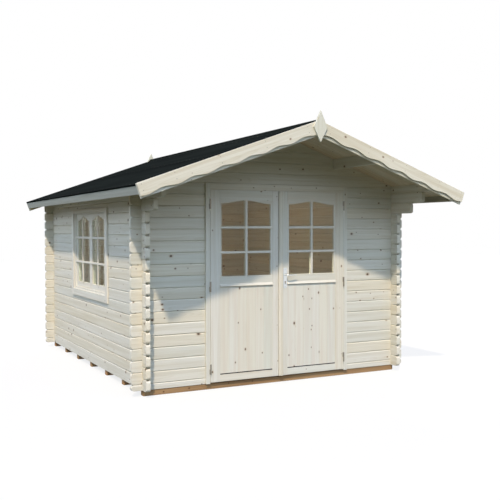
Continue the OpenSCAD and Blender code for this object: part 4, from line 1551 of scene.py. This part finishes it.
    def bars(self) -> None:
        """Builds the glazing bars on both faces of the pane."""
        piece = Timber(f"{self.side.value}_door_bars", self.bar_ease)
        half, low = self.bar_w / 2, self.z + self.glass_z
        a, b = self.xc - half, self.xc + half
        top = low + self.glass_h + self.arch
        touch = 0.3 * MM
        for y0, y1 in (
            (self.face_y + self.bar_back, self.pane_y[0] - touch),
            (self.pane_y[1] + touch, self.back_y - self.bar_back),
        ):
            piece.box((a, y0, low), (b, y1, top), Z)
            for z in (self.z + height for height in self.bar_zs):
                for x0, x1 in ((self.x0 + self.bar_end, a), (b, self.x1 - self.bar_end)):
                    piece.box((x0, y0 + TOUCH, z - half), (x1, y1 - TOUCH, z + half), X)
        piece.done(self.body, "joinery", self.wood)


@dataclass
class Doors:
    """The door frame, the two leaves, the cover strip, the lock and the hinges."""

    finishes: Finishes
    rows: BoardRow
    heads: Heads
    # Slips in the gaps round the leaves
    gap: float = 6 * MM
    leaf_t: float = 40 * MM
    slip_back: float = 5 * MM
    slip_d: float = 14 * MM
    slip_room: float = 1.2 * MM
    # Cover strip: its bevel, and the quirk down its face by place and width
    strip_bevel: float = 14 * MM
    strip_edge: float = 3 * MM
    quirk: float = 28 * MM
    quirk_w: float = 4 * MM
    # Lock plate with an arched head and foot, given as shares of half its width
    plate_t: float = 3 * MM
    plate_head: float = 0.45
    plate_foot: float = 0.75
    plate_steps: int = 12
    boss_r: float = 11 * MM
    key_r: float = 8.5 * MM
    key_below: float = 73 * MM
    screw: tuple[float, float] = (3.4 * MM, 1 * MM)
    screw_top: float = 16 * MM
    screw_foot: float = 18 * MM
    # Lever: radius of its grip, bend at its neck, and the shares of the radius along its path
    lever_r: float = 8 * MM
    lever_bend: float = 14 * MM
    lever_taper: Sequence[float] = (1.0, 0.95, 0.95, 0.9, 0.75)

    def build(self) -> None:
        """Builds every piece of the doors."""
        wood = self.finishes.timber["joinery"]
        for name, node, grain in (
            ("door_jamb_pair", "door_jambs", Z),
            ("door_head_bar", "door_head", X),
            ("threshold_bar", "door_threshold", X),
        ):
            Timber(name).take(node, grain).done("cabin", "joinery", wood, [node])
        for side in Side:
            DoorLeaf(self.finishes, self.rows, side).build()
            for node in (f"{side.value}_hinge_pins", f"{side.value}_hinge_sockets"):
                dress(node, self.finishes.steel)
        self.strip(wood)
        self.slips(wood)
        self.lock()
        self.lever()

    def slips(self, wood: Materials) -> None:
        """Builds the slips in the gaps round the leaves, which keep the draught out.

        Args:
            wood: the finish of their faces and of their ends.
        """
        (left, left_high), (right_low, right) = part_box("left_door_leaf"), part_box("right_door_leaf")
        y0 = left_high.y - self.leaf_t + self.slip_back
        y1, room, gap, z0, z1 = y0 + self.slip_d, self.slip_room, self.gap, left.z, left_high.z
        fixed = Timber("door_frame_slips", ease=0.5 * MM)
        fixed.box((left.x - gap - MM, y0, z0), (left.x - room, y1, z1 + room), Z)
        fixed.box((right.x + room, y0, z0), (right.x + gap + MM, y1, z1 + room), Z)
        fixed.box((left.x - gap, y0, z1 + room), (right.x + gap, y1, z1 + gap + MM), X)
        fixed.done("cabin", "joinery", wood)
        meeting = Timber("meeting_slip", ease=0.5 * MM)
        meeting.box((left_high.x - MM, y0, z0), (right_low.x - 2 * room, y1, z1), Z)
        meeting.done("left_door", "joinery", wood)

    def strip(self, wood: Materials) -> None:
        """Builds the cover strip: bevelled on the left, with a quirk run down its face.

        Args:
            wood: the finish of its face and of its ends.
        """
        low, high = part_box("door_cover_strip")
        bevel, quirk, w = self.strip_bevel, low.x + self.quirk, self.quirk_w
        outline = [
            (low.x, high.y), (low.x, low.y + bevel / 2), (low.x + bevel, low.y), (quirk, low.y),
            (quirk + MM, low.y + w), (quirk + w, low.y + w), (quirk + w + MM, low.y),
            (high.x - 2 * MM, low.y), (high.x, low.y + self.strip_edge), (high.x, high.y),
        ]
        piece = Timber("cover_strip_bar", ease=0.8 * MM)
        piece.prism(outline, lying, low.z, high.z, Z)
        piece.done("right_door", "joinery", wood, ["door_cover_strip"])

    def lock(self) -> None:
        """Builds the lock plate with its boss, key cylinder and screws."""
        low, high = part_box("door_lock_plate")
        lever_low, lever_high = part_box("door_lever")
        spindle = (lever_low.z + lever_high.z) / 2
        w, h = (high.x - low.x) / 2, (high.z - low.z) / 2
        cx, cz = (low.x + high.x) / 2, (low.z + high.z) / 2
        face = high.y - self.plate_t
        outline = []
        head, foot = self.plate_head * w, self.plate_foot * w
        for start, dz, rise in ((0, h - head, head), (math.pi, -h + foot, foot)):
            for i in range(self.plate_steps + 1):
                a = start + math.pi * i / self.plate_steps
                outline.append((cx + w * math.cos(a), cz + dz + rise * math.sin(a)))
        piece = Timber("lock_plate", ease=0.8 * MM)
        piece.prism(outline, upright, face, high.y, Z)
        piece.prism(circle((cx, spindle), self.boss_r, 32), upright, low.y, face, Z)
        piece.done("right_door", "satin_metal", [self.finishes.satin], ["door_lock_plate"])
        self.keyhole(Vector((cx, face, spindle - self.key_below)))
        spots = [
            (Vector((cx, face, z)), -Y) for z in (high.z - self.screw_top, low.z + self.screw_foot)
        ]
        screws = self.heads.at("lock_screws", spots, *self.screw, self.finishes.steel)
        settle(screws, "right_door")

    def keyhole(self, key: Vector) -> None:
        """Builds the key cylinder, and a near-black plate on it as painted shade in its slot.

        Args:
            key: the middle of the cylinder's round part, on the face of the plate.
        """

        def between(low: Sequence[float], high: Sequence[float]) -> Box:
            """Gives two corners, drawn in millimetres from the key's middle."""
            return key + Vector(low) * MM, key + Vector(high) * MM

        cylinder = Timber("key_cylinder", ease=0.5 * MM)
        cylinder.prism(circle(key.xz, self.key_r, 24), upright, key.y - 2.5 * MM, key.y, Z)
        cylinder.box(*between((-5, -2.4, -24), (5, 0, -4)))
        cylinder.done("right_door", "hinge_iron", [self.finishes.steel])
        # The slot is a thin near-black plate on the cylinder's face: painted shade, not a hollow
        slot = Timber("key_slot", ease=0.1 * MM).box(*between((-1.2, -2.8, -6), (1.2, -2.3, 5)))
        slot.done("right_door", "hinge_iron", [self.finishes.dark])

    def lever(self) -> None:
        """Builds the lever: a neck out of the boss, bent to a round grip with a returned tip."""
        low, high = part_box("door_lever")
        z, bend, tip = (low.z + high.z) / 2, self.lever_bend, high.x
        x, out = low.x + self.lever_r, low.y + self.lever_r
        # From the boss outwards, round the bend, along the door, and back towards it at the tip
        knots = [
            (x, high.y, z), (x, out + bend, z), (x + bend, out, z),
            (x + 0.6 * (tip - x), out + 2 * MM, z), (tip - 4 * MM, out + 6 * MM, z),
        ]
        path = bpy.data.curves.new("lever_path", "CURVE")
        path.dimensions = "3D"
        spline = path.splines.new("BEZIER")
        spline.bezier_points.add(len(knots) - 1)
        for point, place, share in zip(spline.bezier_points, knots, self.lever_taper):
            point.co, point.radius = place, share
            point.handle_left_type = point.handle_right_type = "AUTO"
        path.bevel_depth = self.lever_r
        path.bevel_resolution = 5
        path.resolution_u = 10
        path.use_fill_caps = True
        holder = bpy.data.objects.new("lever_holder", path)
        bpy.context.scene.collection.objects.link(holder)
        data = plain_mesh(holder)
        bpy.data.objects.remove(holder)
        data.materials.clear()
        data.materials.append(self.finishes.satin)
        grip = bmesh.new()
        grip.from_mesh(data)
        bmesh.ops.remove_doubles(grip, verts=grip.verts, dist=0.01 * MM)
        bmesh.ops.recalc_face_normals(grip, faces=grip.faces)
        for face in grip.faces:
            face.smooth = len(face.verts) == 4
        grip.to_mesh(data)
        grip.free()
        settle(bpy.data.objects.new("lever_grip", data), "lever", ["door_lever"])


@dataclass
class SideWindow:
    """The window in the left wall: frame, two sashes with arched glass, bars and casing."""

    finishes: Finishes
    bar_w: float = 40 * MM
    sill_h: float = 49 * MM
    casing_ease: float = 2 * MM
    # Room between the two sashes
    fit: float = 0.5 * MM
    stile: float = 55 * MM
    rail: float = 64 * MM
    glass_h: float = 727 * MM
    arch: float = 50 * MM
    grid_w: float = 24 * MM
    grid_back: float = 2 * MM
    grid_ease: float = 2.5 * MM
    # How far the bars stop short of the sashes' edges, and run over the edges of the glass
    grid_end: float = 4 * MM
    grid_over: float = 6 * MM
    grid_zs: tuple[float, float] = (1.211, 1.5)

    def __post_init__(self) -> None:
        """Reads the window's place from the CAD frame and sashes."""
        self.low, self.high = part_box("window_frame")
        self.sash_low, self.sash_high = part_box("window_sashes")
        self.sash_w = (self.sash_high.y - self.sash_low.y - self.fit) / 2
        self.sash_ys = (self.sash_low.y, self.sash_high.y - self.sash_w)
        self.wood = self.finishes.timber["joinery"]

    def build(self) -> None:
        """Builds every piece of the window."""
        casing = Timber("window_casing_boards", self.casing_ease).take("window_casing")
        casing.done("cabin", "joinery", self.wood, ["window_casing"])
        self.frame_bars()
        self.sashes()
        self.grid()
        dress("window_panes", self.finishes.window_glass)

    def frame_bars(self) -> None:
        """Builds the four bars of the window frame."""
        low, high = self.low, self.high
        inner0, inner1 = low.y + self.bar_w, high.y - self.bar_w
        piece = Timber("window_frame_bars")
        piece.box(low, (high.x, inner0, high.z), Z)
        piece.box((low.x, inner1, low.z), high, Z)
        piece.box((low.x, inner0, low.z), (high.x, inner1, low.z + self.sill_h), Y)
        piece.box((low.x, inner0, high.z - self.bar_w), (high.x, inner1, high.z), Y)
        piece.done("cabin", "joinery", self.wood, ["window_frame"])

    def sashes(self) -> None:
        """Builds the stiles and rails of the two sashes."""
        x0, x1, z0, z1 = self.sash_low.x, self.sash_high.x, self.sash_low.z, self.sash_high.z
        rail = z0 + self.rail
        piece = Timber("sash_frames")
        for start in self.sash_ys:
            stop = start + self.sash_w
            a, b = start + self.stile, stop - self.stile
            piece.box((x0, start, z0), (x1, a, z1), Z)
            piece.box((x0, b, z0), (x1, stop, z1), Z)
            piece.box((x0, a, z0), (x1, b, rail), Y)
            centre = (a + b) / 2
            arch = [(centre + y, rail + h) for y, h in arched(b - a, self.glass_h, self.arch)]
            piece.prism([(a, z1), (b, z1), *arch], sideways, x0, x1, Y)
        piece.done("cabin", "joinery", self.wood, ["window_sashes"])

    def grid(self) -> None:
        """Builds the bars that lie on the outer faces of the sashes."""
        half, end, over = self.grid_w / 2, self.grid_end, self.grid_over
        x0, x1 = self.low.x + self.grid_back, self.sash_low.x - TOUCH
        rail = self.sash_low.z + self.rail
        y0, y1 = self.sash_low.y + end, self.sash_high.y - end
        piece = Timber("window_bars", self.grid_ease)
        for z in self.grid_zs:
            piece.box((x0, y0, z - half), (x1, y1, z + half), Y)
        crossings = [z + edge for z in self.grid_zs for edge in (-half, half)]
        levels = [rail - over, *crossings, rail + self.glass_h + self.arch + over]
        for y in (start + self.sash_w / 2 for start in self.sash_ys):
            for a, b in zip(levels[::2], levels[1::2]):
                piece.box((x0 + TOUCH, y - half, a), (x1, y + half, b), Z)
        piece.done("cabin", "joinery", self.wood)


# ---- Studio ----


@dataclass
class Studio:
    """The floor, the lights and the camera."""

    focal: float = 54.4536
    sensor: float = 36.0
    # Place of the lens, and its turns in degrees
    eye: tuple[float, float, float] = (-3.920, -8.640, 1.589)
    yaw: float = 27.647
    pitch: float = 1.521
    roll: float = -0.094
    # Direction in which the sunlight travels
    sun_way: tuple[float, float, float] = (0.71, 1.0, -1.5)
    sun_power: float = 3.16
    sun_colour: str = "#FFEFDC"
    sun_angle: float = 2.0
    # A weaker lamp lights the back and the right side
    back_way: tuple[float, float, float] = (-0.9, -1.0, -1.1)
    back_power: float = 1.1
    # The soft light: the sine of the height in the sky, and the colour there
    sky_power: float = 2.38
    sky_stops: tuple[tuple[float, str], ...] = (
        (0.12, "#000000"),
        (0.24, "#C3D2E2"),
        (0.42, "#D9E8FF"),
        (0.60, "#A7C8E7"),
        (0.78, "#002376"),
    )
    # A soft lamp in the room, which shows its walls through the panes
    lamp_at: tuple[float, float, float] = (0.0, 0.2, 1.5)
    lamp_power: float = 9.0
    lamp_colour: str = "#FFD9A8"
    lamp_size: float = 0.4
    # The floor: what it throws back at the cabin, and what is seen, part glow and part matt
    floor_size: float = 60.0
    floor_below: float = 0.5 * MM
    floor_bounce: str = "#45493A"
    floor_matt: str = "#E7E4DB"
    matt_share: float = 0.22

    def build(self) -> None:
        """Builds the studio."""
        scene = bpy.context.scene
        scene.view_settings.view_transform = "Standard"
        self.camera(scene)
        self.sun("sun", self.sun_way, self.sun_power)
        self.sun("back_light", self.back_way, self.back_power)
        self.lamp()
        self.sky(scene)
        self.floor()

    def camera(self, scene: bpy.types.Scene) -> None:
        """Sets the camera up.

        Args:
            scene: the scene that it is the camera of.
        """
        data = bpy.data.cameras.new("camera")
        data.lens, data.sensor_width = self.focal, self.sensor
        data.clip_start, data.clip_end = 0.1, 200
        camera = bpy.data.objects.new("camera", data)
        place = Matrix.Translation(self.eye)
        for degrees, axis in ((-self.yaw, "Z"), (90 - self.pitch, "X"), (self.roll, "Z")):
            place = place @ Matrix.Rotation(math.radians(degrees), 4, axis)
        camera.matrix_world = place
        scene.collection.objects.link(camera)
        scene.camera = camera

    @staticmethod
    def light(name: str, kind: str, power: float, colour: str) -> bpy.types.Object:
        """Hangs a lamp.

        Args:
            name: the lamp's name.
            kind: the lamp's type.
            power: its strength.
            colour: its colour as #RRGGBB.

        Returns:
            The lamp.
        """
        data = bpy.data.lights.new(name, kind)
        data.energy, data.color = power, linear(colour)[:3]
        lamp = bpy.data.objects.new(name, data)
        bpy.context.scene.collection.objects.link(lamp)
        return lamp

    def sun(self, name: str, way: Sequence[float], power: float) -> None:
        """Hangs a far lamp.

        Args:
            name: the lamp's name.
            way: the direction in which its light travels.
            power: its strength.
        """
        lamp = self.light(name, "SUN", power, self.sun_colour)
        lamp.data.angle = math.radians(self.sun_angle)
        lamp.rotation_euler = Vector(way).to_track_quat("-Z", "Y").to_euler()

    def lamp(self) -> None:
        """Hangs the lamp in the room, which is not seen itself."""
        lamp = self.light("room_lamp", "POINT", self.lamp_power, self.lamp_colour)
        lamp.data.shadow_soft_size = self.lamp_size
        lamp.location = self.lamp_at
        lamp.visible_camera = lamp.visible_glossy = lamp.visible_transmission = False

    def sky(self, scene: bpy.types.Scene) -> None:
        """Makes the world: a soft sky that shows as white to the camera and in reflections.

        Args:
            scene: the scene that it is the world of.
        """
        scene.world = bpy.data.worlds.new("sky")
        scene.world.use_nodes = True
        scene.world.node_tree.nodes.clear()
        node = partial(add, scene.world.node_tree)
        way = node("ShaderNodeTexCoord").outputs["Generated"]
        height = node("ShaderNodeSeparateXYZ", {0: way}).outputs[2]
        stops = [(level, linear(colour)) for level, colour in self.sky_stops]
        sky = node("ShaderNodeValToRGB", {0: height}, stops)
        soft = node("ShaderNodeBackground", {"Color": sky, "Strength": self.sky_power})
        white = node("ShaderNodeBackground", {"Color": WHITE, "Strength": 1.0})
        both = node("ShaderNodeMixShader", {0: self.seen(node), 1: soft, 2: white})
        node("ShaderNodeOutputWorld", {"Surface": both})

    @staticmethod
    def seen(node: Callable) -> bpy.types.Node:
        """Adds nodes that give 1 where a surface is seen, directly, mirrored or through glass.

        Args:
            node: the function that adds a node.

        Returns:
            The node whose first output holds that number.
        """
        ray = node("ShaderNodeLightPath").outputs
        seen = ray["Is Camera Ray"]
        for kind in ("Is Glossy Ray", "Is Transmission Ray"):
            seen = node("ShaderNodeMath", {0: seen, 1: ray[kind]}, operation="MAXIMUM")
        return seen

    def floor(self) -> None:
        """Lays the pale floor, which keeps a soft shadow."""
        half = self.floor_size / 2
        data = bpy.data.meshes.new("studio_floor")
        corner = [(-half, -half, 0), (half, -half, 0), (half, half, 0), (-half, half, 0)]
        data.from_pydata(corner, [], [(0, 1, 2, 3)])
        floor = bpy.data.objects.new("studio_floor", data)
        floor.location.z = -self.floor_below
        bpy.context.scene.collection.objects.link(floor)
        material, node = new_material("studio_floor")
        bounce = node("ShaderNodeBsdfDiffuse", {"Color": linear(self.floor_bounce)})
        glow = node("ShaderNodeEmission", {"Color": WHITE, "Strength": 1.0})
        matt = node("ShaderNodeBsdfDiffuse", {"Color": linear(self.floor_matt)})
        pale = node("ShaderNodeMixShader", {0: self.matt_share, 1: glow, 2: matt})
        both = node("ShaderNodeMixShader", {0: self.seen(node), 1: bounce, 2: pale})
        node("ShaderNodeOutputMaterial", {"Surface": both})
        data.materials.append(material)


def main() -> None:
    """Builds the studio and then each part of the cabin."""
    logging.basicConfig(level=logging.INFO, format="%(name)s: %(message)s")
    Studio().build()
    finishes = Finishes()
    rows, heads = BoardRow(), Heads()
    Walls(finishes).build()
    Floor(finishes, rows).build()
    Roof(finishes, rows, heads).build()
    Doors(finishes, rows, heads).build()
    SideWindow(finishes).build()


if __name__ == "__main__":
    main()
